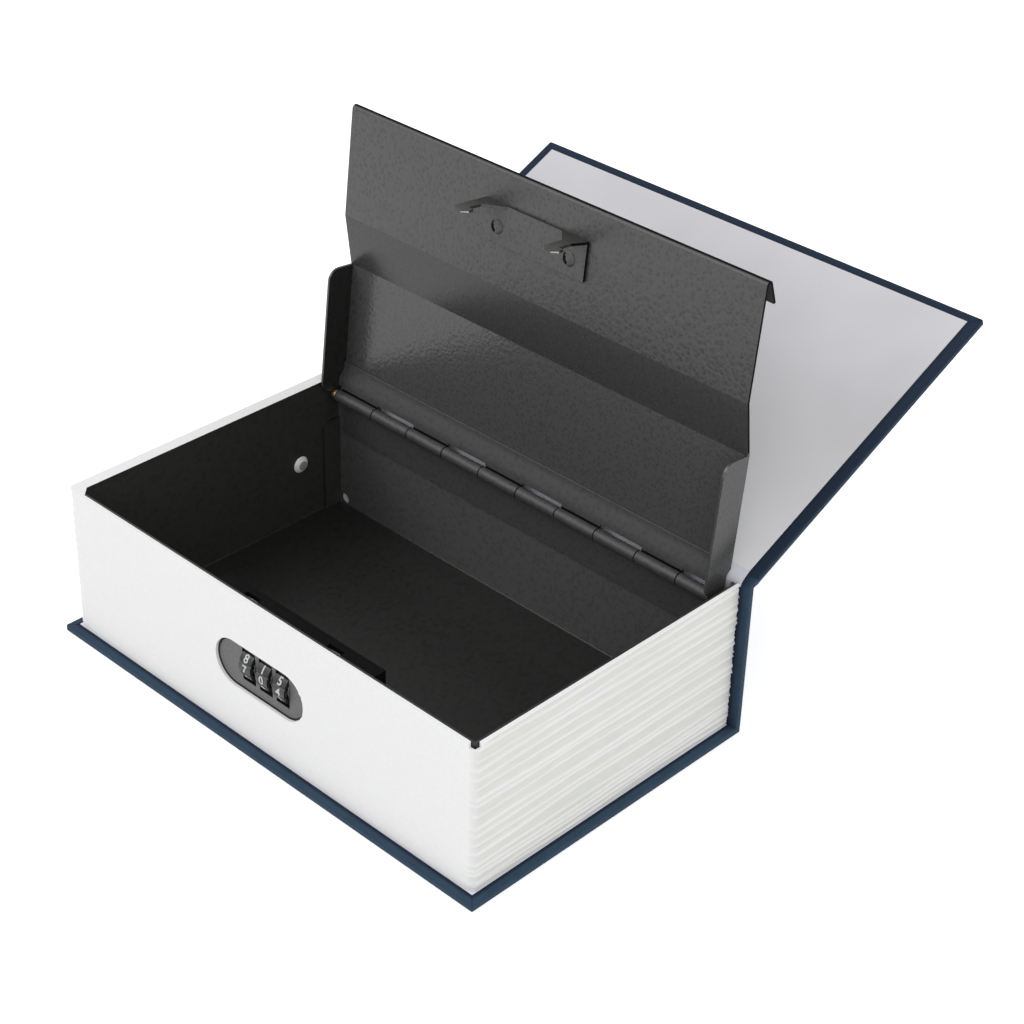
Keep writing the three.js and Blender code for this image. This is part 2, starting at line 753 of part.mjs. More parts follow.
// Latch bracket: a bent plate with two teeth, each with a barb that points right
function toothShape(neck, baseFrom, baseTo) {
  const neckTo = neck + toothNeck;
  const barb = neckTo + barbReach;
  const lead = barbReach / 2;
  return new THREE.Shape([
    point(baseFrom, bracketTop - bracketSheet / 2),
    point(baseFrom, bracketBottom),
    point(neck, toothWaist),
    point(neck, toothTip + lead),
    point(neck + lead, toothTip),
    point(neckTo, toothTip),
    point(barb, toothTip + barbReach),
    point(barb, barbTop),
    point(neckTo, barbTop),
    point(neckTo, toothWaist),
    point(baseTo, bracketBottom),
    point(baseTo, bracketTop - bracketSheet / 2),
  ]);
}
const toothBases = [
  [-bracketLeft, toothBase - bracketLeft],
  [bracketRight - toothBase, bracketRight],
];
const bracketPlate = box(
  -bracketLeft,
  bracketRight,
  -toothFront,
  bracketBase - toothFront,
  bracketBottom,
  bracketTop,
);
const teeth = toothNecks.map((neck, i) =>
  alongY(toothShape(neck, ...toothBases[i]), -toothFront, bracketSheet - toothFront),
);
add(
  lid,
  "latch_bracket",
  cut(join(bracketPlate, ...teeth), ...bracketRivets.map(uprightHole)),
  hammeredEnamel,
);
["bracket_rivet_left", "bracket_rivet_right"].forEach((name, i) => {
  const shank = seat + bracketSheet + seat + sheet;
  const piece = rivet(bracketRivetHeadRadius, bracketRivetHeadRise, bracketRivetRadius, shank);
  piece.rotateX(-Math.PI / 2).translate(bracketRivets[i], bracketRivetY, bracketBottom - seat);
  add(lid, name, piece, hammeredEnamel);
});

// Lock faceplate: a stadium boss in the wall's cut-out and a flange behind the wall
const flangePlate = alongY(
  roundedRectangle(
    -flangeWidth / 2,
    flangeWidth / 2,
    lockHeight - flangeHeight / 2,
    lockHeight + flangeHeight / 2,
    plateRecess,
  ),
  flangeFace,
  flangeBack,
);
const boss = alongY(stadium(0, lockHeight, plateWidth, plateHeight), plateFace, flangeBack);
const windowWidth = dialWidth + 2 * running;
const dialWindows = dialPlaces.map((x) =>
  box(
    x - windowWidth / 2,
    x + windowWidth / 2,
    plateFace - overrun,
    flangeBack + overrun,
    dialZ - dialRadius,
    dialZ + dialRadius,
  ),
);
add(book, "lock_faceplate", cut(join(boss, flangePlate), ...dialWindows), lockGrey);

// Lock case: four walls, screw posts, bearing walls beside the dials and slots for the teeth
const innerBottom = caseBottom + caseWall;
const innerTop = caseTop - caseWall;
const caseShell = cut(
  box(-caseHalfWidth, caseHalfWidth, flangeFace, caseBack, caseBottom, caseTop),
  box(-innerHalf, innerHalf, flangeFace - overrun, caseBack + overrun, innerBottom, innerTop),
);
const latchFront = toothFrontY - toothSwing - latchBorder;
const latchBack = toothBackY + running + latchBackBorder;
const sleeveEnds = [
  dialPlaces[0] - dialWidth / 2 - bearingGap,
  dialPlaces.at(-1) + dialWidth / 2 + bearingGap,
];
const wallFront = flangeBack + seat;
const wallBack = latchFront - running;
const bearings = [
  [sleeveEnds[0] - bearingWall, sleeveEnds[0]],
  ...dialPlaces.slice(1).map((x) => {
    const middle = x - dialPitch / 2;
    return [middle - bearingWall / 2, middle + bearingWall / 2];
  }),
  [sleeveEnds[1], sleeveEnds[1] + bearingWall],
];
const bearingWalls = bearings.map(([x0, x1], i) => {
  const ends = i === 0 || i === bearings.length - 1;
  const hole = ends ? spindleRadius + skinGap : bearingHole;
  return cut(
    box(x0, x1, wallFront, wallBack, innerBottom - caseWall / 2, innerTop + caseWall / 2),
    alongX(disc(dialY, dialZ, hole), x0 - overrun, x1 + overrun, 8),
  );
});
const postPlaces = [-1, 1].flatMap((side) =>
  [innerBottom + postSize / 2, innerTop - postSize / 2].map((z) => [
    side * (innerHalf - postSize / 2),
    z,
  ]),
);
const posts = postPlaces.map(([x, z]) => {
  const reach = postSize / 2 + caseWall / 2;
  const outer = x > 0 ? [x - postSize / 2, x + reach] : [x - reach, x + postSize / 2];
  const upright = z > lockHeight ? [z - postSize / 2, z + reach] : [z - reach, z + postSize / 2];
  return box(...outer, caseBack - postDepth, caseBack, ...upright);
});
const screwHoles = (y0, y1) =>
  postPlaces.map(([x, z]) => alongY(disc(x, z, screwRadius + seat), y0, y1, 6));
const slotPlay = running + seat;
const toothSlots = toothNecks.map((neck) =>
  box(
    neck - slotPlay,
    neck + toothNeck + barbReach + slotPlay,
    toothFrontY - toothSwing,
    toothBackY + slotPlay,
    innerTop - overrun,
    caseTop + overrun,
  ),
);
add(
  book,
  "lock_housing",
  cut(
    join(caseShell, ...bearingWalls, ...posts),
    ...screwHoles(caseBack - screwLength, caseBack + overrun),
    ...toothSlots,
  ),
  blackEnamel,
);

// Back plate, its screws and the reset lever
const plateFront = caseBack + seat;
const plateBack = plateFront + backPlate;
const resetZ = lockHeight - resetBelow;
const resetHole = alongY(
  disc(resetAcross, resetZ, resetShaftRadius + skinGap),
  plateFront - overrun,
  plateBack + overrun,
  6,
);
add(
  book,
  "lock_back_plate",
  cut(
    box(-caseHalfWidth, caseHalfWidth, plateFront, plateBack, caseBottom, caseTop),
    ...screwHoles(plateFront - overrun, plateBack + overrun),
    resetHole,
  ),
  blackEnamel,
);
postPlaces.forEach(([x, z], i) => {
  const slot = box(
    -screwHeadRadius - overrun,
    screwHeadRadius + overrun,
    screwHeadRise - screwSlotDepth,
    screwHeadRise + overrun,
    -screwSlotWidth / 2,
    screwSlotWidth / 2,
  );
  const shank = seat + backPlate + seat + screwLength - running;
  const body = rivet(screwHeadRadius, screwHeadRise, screwRadius, shank);
  const placed = cut(body, slot).translate(x, plateBack + seat, z);
  add(book, `lock_screw_${i + 1}`, placed, brightSteel);
});
const reset = new THREE.Group();
reset.position.set(resetAcross, plateBack + seat, resetZ);
book.add(reset);
const leverDisc = alongY(disc(0, 0, resetRadius), 0, resetThickness);
const leverGrip = alongY(
  stadium(0, 0, 2 * resetRadius - resetGripWidth, resetGripWidth),
  resetThickness / 2,
  resetThickness + resetGripRise,
  4,
);
const shaftEnd = -(seat + backPlate + seat + resetShaftLength);
const leverShaft = alongY(disc(0, 0, resetShaftRadius), shaftEnd, resetThickness / 2, 8);
const camHalf = new THREE.Shape([
  point(-resetCamRadius, 0),
  ...arc(0, 0, resetCamRadius, 180, 360, 8),
]);
const leverCam = alongY(camHalf, shaftEnd - resetCamThickness, shaftEnd + resetShaftLength / 2);
add(reset, "reset_lever", join(leverDisc, leverGrip, leverShaft, leverCam), brightSteel);

// Dials: ten number faces round the rim, and a bore with ten key slots
function dialShape() {
  const step = (2 * Math.PI) / dialDigits;
  const rim = [];
  const bore = [];
  const polar = (radius, angle) => point(radius * Math.cos(angle), radius * Math.sin(angle));
  const keyHalf = (keyWidth / 2 + seat) / dialBoreRadius;
  for (let i = 0; i < dialDigits; i++) {
    const middle = i * step;
    const notch = step * dialNotchShare;
    rim.push(polar(dialRadius, middle - step / 2 + notch));
    rim.push(polar(dialRadius, middle - step / 4));
    rim.push(polar(dialRadius, middle));
    rim.push(polar(dialRadius, middle + step / 4));
    rim.push(polar(dialRadius, middle + step / 2 - notch));
    rim.push(polar(dialRadius - dialNotchDepth, middle + step / 2));
    const slot = middle + step / 2;
    bore.push(polar(dialBoreRadius, slot - keyHalf));
    bore.push(polar(dialBoreRadius + keyHeight, slot - keyHalf));
    bore.push(polar(dialBoreRadius + keyHeight, slot + keyHalf));
    bore.push(polar(dialBoreRadius, slot + keyHalf));
  }
  const shape = new THREE.Shape(rim);
  shape.holes.push(new THREE.Path(bore));
  return shape;
}

// Cam sleeves: a tube inside each dial, a key outside it, and a gate disc at its left end
function sleeveGeometry() {
  const half = dialWidth / 2;
  const tube = disc(0, 0, sleeveRadius);
  tube.holes.push(disc(0, 0, sleeveBore));
  const gate = disc(0, 0, (sleeveBore + sleeveRadius) / 2);
  gate.holes.push(disc(0, 0, gateBore));
  const keyTop = dialBoreRadius + keyHeight - seat;
  const key = box(-half, half, -keyWidth / 2, keyWidth / 2, sleeveRadius - seat, keyTop);
  const slot = box(-half - overrun, half, -gateWidth / 2, gateWidth / 2, 0, gateReach);
  const gateDisc = cut(alongX(gate, -half, gateThickness - half, 8), slot);
  return join(alongX(tube, -half, half, 8), gateDisc, key);
}
dialPlaces.forEach((x, i) => {
  const dial = new THREE.Group();
  dial.position.set(x, dialY, dialZ);
  book.add(dial);
  add(dial, `dial_${i + 1}`, alongX(dialShape(), -dialWidth / 2, dialWidth / 2), dialBlack);
  add(dial, `cam_sleeve_${i + 1}`, sleeveGeometry(), brightSteel);
});

// Latch: the spindle's three fins pass the sleeves' gates as it slides left with the latch bar
const latch = new THREE.Group();
book.add(latch);
const spindleStart = bearings[0][0] - running;
const rod = alongX(disc(dialY, dialZ, spindleRadius), spindleStart, latchArm - seat, 6);
const fins = dialPlaces.map((x) => {
  const gateSide = x - dialWidth / 2 + gateThickness + running;
  return box(
    gateSide,
    gateSide + gateThickness,
    dialY - finWidth / 2,
    dialY + finWidth / 2,
    dialZ,
    dialZ + finReach,
  );
});
add(latch, "spindle", join(rod, ...fins), brightSteel);
const latchPlate = box(
  latchLeft,
  latchArm + latchSheet,
  latchFront,
  latchBack,
  latchBottom,
  latchTop,
);
const latchWindows = toothNecks.map((neck) =>
  box(
    neck - running,
    neck + toothNeck + barbReach + running,
    toothFrontY - toothSwing,
    toothBackY + running,
    latchBottom - overrun,
    latchTop + overrun,
  ),
);
const armBack = toothFrontY - toothSwing - running;
const armShape = new THREE.Shape([
  ...arc(dialY, dialZ, spindleRadius, 150, 330, 8),
  point(armBack, latchBottom - latchBorder),
  point(armBack, latchTop),
  point(latchFront, latchTop),
  point(latchFront, latchBottom - latchSheet),
]);
const arm = alongX(armShape, latchArm, latchArm + latchSheet);
add(latch, "latch_bar", join(cut(latchPlate, ...latchWindows), arm), brightSteel);

// Latch spring: a coil between the latch bar's arm and the case's right wall
class Helix extends THREE.Curve {
  constructor(from, to) {
    super();
    this.from = from;
    this.to = to;
  }
  getPoint(t, target = new THREE.Vector3()) {
    const angle = 2 * Math.PI * springTurns * t;
    return target.set(
      THREE.MathUtils.lerp(this.from, this.to, t),
      dialY + springRadius * Math.cos(angle),
      dialZ + springRadius * Math.sin(angle),
    );
  }
}
const springFrom = latchArm + latchSheet + springWire / 2 + running;
const springTo = innerHalf - springWire / 2 - seat;
const wire = new THREE.Shape(arc(0, 0, springWire / 2, 0, 288, 4));
const coil = new THREE.ExtrudeGeometry(wire, {
  steps: springTurns * 12,
  bevelEnabled: false,
  extrudePath: new Helix(springFrom, springTo),
});
add(book, "latch_spring", coil, brightSteel);

// Detent spring: a leaf on the case's floor whose three fingers rise under the dials
const fingerTop = dialZ - dialRadius - running - detentSheet / 2;
const leafFloor = innerBottom + seat + detentSheet / 2;
const fingerLine = [
  point(caseBack - postDepth - detentTail / 2, leafFloor),
  point(dialY + detentTail, leafFloor),
  point(dialY + springWire, fingerTop),
  point(dialY - springWire, fingerTop),
  point(dialY - 2 * springWire, fingerTop - 2 * detentSheet),
];
const fingers = dialPlaces.map((x) =>
  alongX(sheetOutline(fingerLine, detentSheet), x - detentFinger / 2, x + detentFinger / 2),
);
const leafBase = box(
  dialPlaces[0] - detentFinger / 2,
  dialPlaces.at(-1) + detentFinger / 2,
  wallBack + running,
  caseBack - postDepth,
  innerBottom + seat,
  innerBottom + seat + detentSheet,
);
add(book, "detent_spring", join(leafBase, ...fingers), brightSteel);

export default book;
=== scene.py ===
import json
from math import cos, exp, pi, radians, sin

import bmesh
import bpy
from mathutils import Matrix, Vector, noise


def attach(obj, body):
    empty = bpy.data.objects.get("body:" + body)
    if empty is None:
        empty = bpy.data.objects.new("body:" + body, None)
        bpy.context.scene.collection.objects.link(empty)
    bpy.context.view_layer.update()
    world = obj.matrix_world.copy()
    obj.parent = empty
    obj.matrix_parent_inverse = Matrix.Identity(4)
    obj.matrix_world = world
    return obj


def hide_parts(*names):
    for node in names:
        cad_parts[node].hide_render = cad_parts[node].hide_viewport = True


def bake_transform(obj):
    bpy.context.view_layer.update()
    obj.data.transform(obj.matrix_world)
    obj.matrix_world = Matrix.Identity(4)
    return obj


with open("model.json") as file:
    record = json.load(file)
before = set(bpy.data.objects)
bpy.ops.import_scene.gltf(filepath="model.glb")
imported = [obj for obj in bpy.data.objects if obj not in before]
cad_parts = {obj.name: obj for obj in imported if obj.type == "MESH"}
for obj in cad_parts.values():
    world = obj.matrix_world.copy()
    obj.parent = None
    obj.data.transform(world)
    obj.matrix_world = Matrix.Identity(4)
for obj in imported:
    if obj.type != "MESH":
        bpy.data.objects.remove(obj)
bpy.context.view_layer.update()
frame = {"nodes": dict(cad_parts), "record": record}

# Back cover: grey board 2.3 mm thick, wrapped in navy book cloth that is turned over the edges.
# The turned-in cloth is mitred at the two fore-edge corners, where a crease shows.
MM = 0.001
BOOK_HALF_WIDTH = 90 * MM
BOOK_FORE = -56.5 * MM
BOOK_BACK = 56.5 * MM
BOARD = 2.3 * MM
BOARD_ROUND = 0.6 * MM
MITRE_WIDTH = 0.22 * MM
MITRE_DEPTH = 0.3 * MM
MITRE_REACH = 7 * MM
THREAD = 0.45 * MM
CLOTH_PAINTED_SHADE = "cloth_painted_shade"
BLOCK_SIDE = 86.8 * MM
BLOCK_FORE = -53.3 * MM
SHADED = 1.3 * MM


def shade(red, green, blue):
    """A colour as a screen shows it, 0 to 255, in the renderer's linear values."""
    parts = [part / 255 for part in (red, green, blue)]
    return tuple(p / 12.92 if p < 0.04 else ((p + 0.055) / 1.055) ** 2.4 for p in parts) + (1,)


def new_finish(name, colour, roughness, metallic=0.0, specular=0.5):
    """A material with its shader's plain values; patterns are linked in afterwards."""
    finish = bpy.data.materials.new(name)
    finish.use_nodes = True
    shader = finish.node_tree.nodes["Principled BSDF"]
    shader.inputs["Base Color"].default_value = colour
    shader.inputs["Roughness"].default_value = roughness
    shader.inputs["Metallic"].default_value = metallic
    shader.inputs["Specular IOR Level"].default_value = specular
    return finish


def add_node(finish, kind, sockets, **settings):
    """A node of a material, its sockets set to a value or linked to another node's output."""
    made = finish.node_tree.nodes.new("ShaderNode" + kind)
    for name, value in settings.items():
        setattr(made, name, value)
    for socket, value in sockets.items():
        if isinstance(value, bpy.types.NodeSocket):
            finish.node_tree.links.new(value, made.inputs[socket])
        else:
            made.inputs[socket].default_value = value
    return made


def feed(finish, socket, source):
    """Link a pattern to a socket of the material's shader."""
    shader = finish.node_tree.nodes["Principled BSDF"]
    finish.node_tree.links.new(source, shader.inputs[socket])


def blotches(finish, place, size, detail=3.0):
    """Soft irregular spots of about this size, from 0 to 1."""
    sockets = {"Vector": place, "Scale": 1 / size, "Detail": detail, "Roughness": 0.55}
    return add_node(finish, "TexNoise", sockets).outputs["Fac"]


def tones(finish, pattern, dark, light, low=0.3, high=0.7):
    """Two colours, mixed by a pattern."""
    ramp = add_node(finish, "ValToRGB", {"Fac": pattern})
    ramp.color_ramp.elements[0].position = low
    ramp.color_ramp.elements[0].color = dark
    ramp.color_ramp.elements[1].position = high
    ramp.color_ramp.elements[1].color = light
    return ramp.outputs["Color"]


def levels(finish, pattern, low, high):
    """A pattern from 0 to 1, stretched to lie between two values."""
    sockets = {"Value": pattern, "To Min": low, "To Max": high}
    return add_node(finish, "MapRange", sockets).outputs["Result"]


def relief(finish, height, depth, strength=1.0, under=None):
    """A raised pattern of this depth in metres, on top of another one."""
    sockets = {"Height": height, "Distance": depth, "Strength": strength}
    if under is not None:
        sockets["Normal"] = under
    return add_node(finish, "Bump", sockets).outputs["Normal"]


def calculate(finish, operation, first, second):
    """One sum on two patterns, or on a pattern and a number."""
    made = add_node(finish, "Math", {0: first, 1: second}, operation=operation)
    return made.outputs["Value"]


def weave_of(finish, thread):
    """Plain weave on the piece's own map: threads over and under each other, from 0 to 1."""
    place = add_node(finish, "UVMap", {}, uv_map="cloth").outputs["UV"]
    sockets = {"Vector": place, "Scale": pi / (20 * thread), "Distortion": 0.7, "Detail Scale": 3}
    waves = []
    for across in "XY":
        wave = add_node(finish, "TexWave", sockets, bands_direction=across).outputs["Fac"]
        waves.append(calculate(finish, "SUBTRACT", wave, 0.5))
    product = calculate(finish, "MULTIPLY", *waves)
    return place, levels(finish, calculate(finish, "ADD", product, 0.25), 0, 2)


book_cloth = new_finish("navy book cloth", shade(38, 61, 81), 0.78, specular=0.22)
cloth_place, weave = weave_of(book_cloth, THREAD)
mottle = blotches(book_cloth, cloth_place, 9 * MM)
thread_tone = calculate(book_cloth, "ADD", mottle, calculate(book_cloth, "MULTIPLY", weave, 0.3))
navy = tones(book_cloth, thread_tone, shade(33, 53, 71), shade(44, 68, 89), 0.35, 0.95)
# Painted shade: the attribute mixes near-black navy in at the foot of the pages and paper, beside the
# lining and along the boards' outer edges.
shade_share = add_node(book_cloth, "Attribute", {}, attribute_name=CLOTH_PAINTED_SHADE).outputs["Fac"]
shaded_navy = add_node(book_cloth, "Mix", {0: shade_share, 6: navy, 7: shade(14, 30, 50)}, data_type="RGBA")
feed(book_cloth, "Base Color", shaded_navy.outputs[2])
feed(book_cloth, "Roughness", levels(book_cloth, mottle, 0.7, 0.86))
feed(book_cloth, "Normal", relief(book_cloth, weave, 0.05 * MM, 0.7))
book_cloth.node_tree.nodes["Principled BSDF"].inputs["Sheen Weight"].default_value = 0.05


def in_order(corners):
    """Lowest and highest corner of a block, as a centre and a size."""
    low, high = (Vector(corner) for corner in corners)
    return (low + high) / 2, high - low


def block(corners):
    """A mesh being worked on that starts as a block between two corners."""
    centre, size = in_order(corners)
    work = bmesh.new()
    place = Matrix.Translation(centre) @ Matrix.Diagonal((*size, 1))
    bmesh.ops.create_cube(work, size=1, matrix=place)
    return work


def round_edges(work, edges, radius, segments):
    """Round edges off, and give back the faces that this makes."""
    made = bmesh.ops.bevel(
        work,
        geom=edges,
        offset=radius,
        affect="EDGES",
        segments=segments,
        profile=0.5,
        material=-1,
        clamp_overlap=True,
    )
    return made["faces"]


def map_cloth(work):
    """Lay the cloth's threads along each face, in metres."""
    layer = work.loops.layers.uv.new("cloth")
    for face in work.faces:
        across = max(range(3), key=lambda axis: abs(face.normal[axis]))
        u, v = [axis for axis in range(3) if axis != across]
        for loop in face.loops:
            loop[layer].uv = (loop.vert.co[u], loop.vert.co[v])


def score(work, place, facing):
    """A line of points across a mesh, where a plane meets it."""
    parts = work.verts[:] + work.edges[:] + work.faces[:]
    bmesh.ops.bisect_plane(work, geom=parts, plane_co=place, plane_no=facing, dist=1e-7)


def beside(value, middle, reach):
    """1 at the middle, falling to 0 this far away."""
    return max(0, 1 - abs(value - middle) / reach)


def darken(work, rule):
    """Mark where shade is painted into the cloth, by a rule on the place."""
    layer = work.verts.layers.float.new(CLOTH_PAINTED_SHADE)
    for vert in work.verts:
        vert[layer] = rule(vert.co)


def crease_mitre(work, corner, inwards, lift):
    """Press the mitred fold of the turned-in cloth into one corner of a board."""
    corner = Vector(corner)
    along = Vector(inwards).normalized()
    side = Vector((-along.y, along.x, 0))
    for shift in (-MITRE_WIDTH, 0, MITRE_WIDTH):
        score(work, corner + side * shift, side)
    score(work, corner + along * MITRE_REACH, along)
    for vert in work.verts:
        offset = vert.co - corner
        reach = offset.dot(along)
        on_fold = abs(offset.dot(side)) < 1e-6 and reach < MITRE_REACH - 1e-6
        if on_fold and offset.z * lift > -BOARD / 2:
            vert.co.z -= lift * MITRE_DEPTH * (1 - reach / MITRE_REACH)


def board(corners, square_edge=None, lift=None):
    """A cloth-covered board. Its edges stay square where it meets another board or a joint, and
    lift is the side that the cloth is turned in on, 1 up or -1 down."""
    work = block(corners)
    low, high = (Vector(corner) for corner in corners)
    rounded = [e for e in work.edges if square_edge is None or not square_edge(e)]
    round_edges(work, rounded, BOARD_ROUND, 4)
    if lift is not None:
        face = high.z if lift > 0 else low.z
        crease_mitre(work, (high.x, low.y, face), (-1, 1, 0), lift)
        crease_mitre(work, (low.x, low.y, face), (1, 1, 0), lift)
    return work


def beyond(side, fore, place):
    """How far a place is outside the rectangle that the pages or the end paper cover."""
    return max(abs(place.x) - side, fore - place.y)


def rim_lines(work, side, fore):
    """Lines on a board along the edge of what it carries, and just outside it."""
    for reach in (0, SHADED / 2, SHADED):
        score(work, (side + reach, 0, 0), (1, 0, 0))
        score(work, (-side - reach, 0, 0), (1, 0, 0))
        score(work, (0, fore - reach, 0), (0, 1, 0))


def finished(work, name, material, smooth=30, place=None):
    """Turn worked mesh into a piece of the scene, its curved faces smooth."""
    if place is not None:
        bmesh.ops.transform(work, matrix=place, verts=work.verts)
    work.normal_update()
    mesh = bpy.data.meshes.new(name)
    work.to_mesh(mesh)
    work.free()
    mesh.materials.append(material)
    mesh.shade_smooth()
    mesh.set_sharp_from_angle(angle=radians(smooth))
    piece = bpy.data.objects.new(name, mesh)
    bpy.context.scene.collection.objects.link(piece)
    return piece


def keep_faces_flat(piece):
    """Flat faces shade flat, and only the rounded edges between them shade smooth."""
    weighing = piece.modifiers.new("flat faces", "WEIGHTED_NORMAL")
    weighing.keep_sharp = True
    return piece


def stands_for(piece, node, body):
    """A finished piece takes a CAD node's place, on its body."""
    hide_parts(node)
    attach(piece, body)


def under_spine(edge):
    """Whether an edge of the back board is the one that the spine stands on."""
    return all(vert.co.y > BOOK_BACK - 1e-6 and vert.co.z > BOARD - 1e-6 for vert in edge.verts)


back_board = board(
    ((-BOOK_HALF_WIDTH, BOOK_FORE, 0), (BOOK_HALF_WIDTH, BOOK_BACK, BOARD)),
    square_edge=under_spine,
    lift=1,
)
rim_lines(back_board, BLOCK_SIDE, BLOCK_FORE)


def back_board_dark(place):
    """Painted shade: darkest at the foot of the pages and along the board's lower edge."""
    foot = 2 - 2 * beyond(BLOCK_SIDE, BLOCK_FORE, place) / SHADED if place.z > BOARD / 2 else 0
    return max(0, min(1, foot), 0.85 * beside(place.z, BOARD_ROUND / 2, BOARD_ROUND / 2))


darken(back_board, back_board_dark)
map_cloth(back_board)
back_cover = keep_faces_flat(finished(back_board, "back_cover_cloth", book_cloth))
stands_for(back_cover, "back_cover", "book")

# Back end paper: one sheet of pale paper glued on the board, under the page block. It is flat,
# and only its edges show.
PAPER_FIBRE = 0.9 * MM
PAPER_CLOUD = 40 * MM


def end_paper(name, colour):
    """Uncoated paper with faint fibres, and the slow pattern that its tones vary by."""
    made = new_finish(name, colour, 0.88, specular=0.25)
    place = add_node(made, "TexCoord", {}).outputs["Object"]
    fibres = blotches(made, place, PAPER_FIBRE, 6)
    feed(made, "Roughness", levels(made, fibres, 0.82, 0.94))
    feed(made, "Normal", relief(made, fibres, 0.02 * MM, 0.5))
    return made, place, blotches(made, place, PAPER_CLOUD, 2)


paper, _, clouds = end_paper("pale end paper", shade(226, 226, 234))
feed(paper, "Base Color", tones(paper, clouds, shade(220, 220, 230), shade(230, 230, 237)))


def give(node, material):
    """A CAD piece whose shape is right keeps it, and gets its finish."""
    slots = frame["nodes"][node].data.materials
    slots.clear()
    slots.append(material)


give("back_pastedown", paper)

# Spine board: the same board and cloth, glued upright on the back cover behind the pages. The
# cloth of both boards runs round the joint at its foot.
SPINE_TOP = 52.1 * MM
SPINE_INNER = BOOK_BACK - BOARD
spine = board(
    ((-BOOK_HALF_WIDTH, SPINE_INNER, BOARD), (BOOK_HALF_WIDTH, BOOK_BACK, SPINE_TOP)),
    square_edge=lambda edge: abs(edge.verts[0].co.z - edge.verts[1].co.z) < 1e-6,
)
rim_lines(spine, BLOCK_SIDE, BOOK_FORE * 2)


def spine_dark(place):
    """Painted shade: darkest beside the lining and along the outer edges of the spine's ends."""
    inside = place.y < SPINE_INNER + 0.1 * MM
    foot = 1 - 0.6 * (abs(place.x) - BLOCK_SIDE) / SHADED if inside else 0
    outer = beside(place.y, BOOK_BACK - BOARD_ROUND / 2, BOARD_ROUND / 2)
    return max(0, min(1, foot), 0.85 * outer * (abs(place.x) > BLOCK_SIDE))


darken(spine, spine_dark)
map_cloth(spine)
spine_cover = keep_faces_flat(finished(spine, "spine_cloth", book_cloth))
stands_for(spine_cover, "spine_board", "book")

# Spine lining: paper pasted inside the spine, from the back end paper up to the joint. Its two
# ends are frayed against the cloth.
PAPER = 0.2 * MM
LINING_BACK = 54.1 * MM
BLOCK_BOTTOM = 2.7 * MM
FRAY_STEP = 0.75 * MM
FRAY_DEPTH = 0.012
lining = block(
    ((-BLOCK_SIDE, LINING_BACK - PAPER, BLOCK_BOTTOM), (BLOCK_SIDE, LINING_BACK, SPINE_TOP))
)
for step in range(1, round((SPINE_TOP - BLOCK_BOTTOM) / FRAY_STEP)):
    score(lining, (0, 0, BLOCK_BOTTOM + step * FRAY_STEP), (0, 0, 1))
for vert in lining.verts:
    fray = noise.noise(Vector((vert.co.x * 50, 0, vert.co.z / MM * 1.7)))
    vert.co.x *= 1 - FRAY_DEPTH * (0.5 + fray)
spine_lining = finished(lining, "spine_lining_paper", paper)
stands_for(spine_lining, "spine_lining", "book")

# Page block: a moulded white shell round three sides of the steel box. Its two ends have wavy
# ridges like page edges, which run a little way round the corners and die out on the fore edge,
# and a thin lip of the left one lies over the steel's rim.
BLOCK_BACK = 53.8 * MM
BLOCK_TOP = 53.1 * MM
THIN_WALL = 0.9 * MM
HEAD_WALL = 2.4 * MM
LIP_EDGE = -82.5 * MM
LIP_CORNER = 3 * MM
CORNER_STEP = 0.01 * MM
TOP_BAND = 0.8 * MM
NOTCH = (2.5 * MM, 1.8 * MM)
BLOCK_ROUND = 2.2 * MM
LOW_RIDGES = (1.4, 2.8, 5.1, 6.5, 8.7, 13.2, 15.6, 19.4, 21.7)
HIGH_RIDGES = (25.6, 29.2, 31.3, 34.6, 38.4, 41.6, 44.6, 47.8)
RIDGE_RISE = 0.25 * MM
RIDGE_WAVES = ((34, 7.3, 0, 0.9), (8, 3.1, 5, 0.16))  # each wave's length, two seeds and height, in mm
PAGE_VALLEY_SHADE = "page_valley_shade"
RIDGE_FADE = 7 * MM
PAGE_FRAY = 0.9 * MM
RING_STEP = 0.28 * MM
LONG_SIDE = 80 * MM
FORE_CUTS = 60
END_CUTS = 22
LOCK_MIDDLE = 27.8 * MM
LOCK_HOLE = (38 * MM, 15.9 * MM)
HOLE_TEAR = 0.5 * MM

pages = new_finish("white page shell", shade(238, 238, 237), 0.62, specular=0.35)
page_place = add_node(pages, "TexCoord", {}).outputs["Object"]
flat_pages = add_node(pages, "Mapping", {"Vector": page_place, "Scale": (1, 1, 9)})
leaves = blotches(pages, flat_pages.outputs["Vector"], 7 * MM, 3)
moulded = blotches(pages, page_place, 0.8 * MM, 3)
page_white = tones(pages, moulded, shade(234, 234, 234), shade(238, 238, 239))
# On the block's two ends the valleys between the ridges are painted grey as painted shade; the crests
# and the fore edge stay white.
valley_shade_grey = tones(pages, leaves, shade(214, 215, 209), shade(221, 222, 217))
valley_shade = add_node(pages, "Attribute", {}, attribute_name=PAGE_VALLEY_SHADE).outputs["Fac"]
page_tone = add_node(pages, "Mix", {0: valley_shade, 6: page_white, 7: valley_shade_grey}, data_type="RGBA")
feed(pages, "Base Color", page_tone.outputs[2])
feed(pages, "Roughness", levels(pages, moulded, 0.56, 0.68))
feed(pages, "Normal", relief(pages, moulded, 0.02 * MM, 0.3))

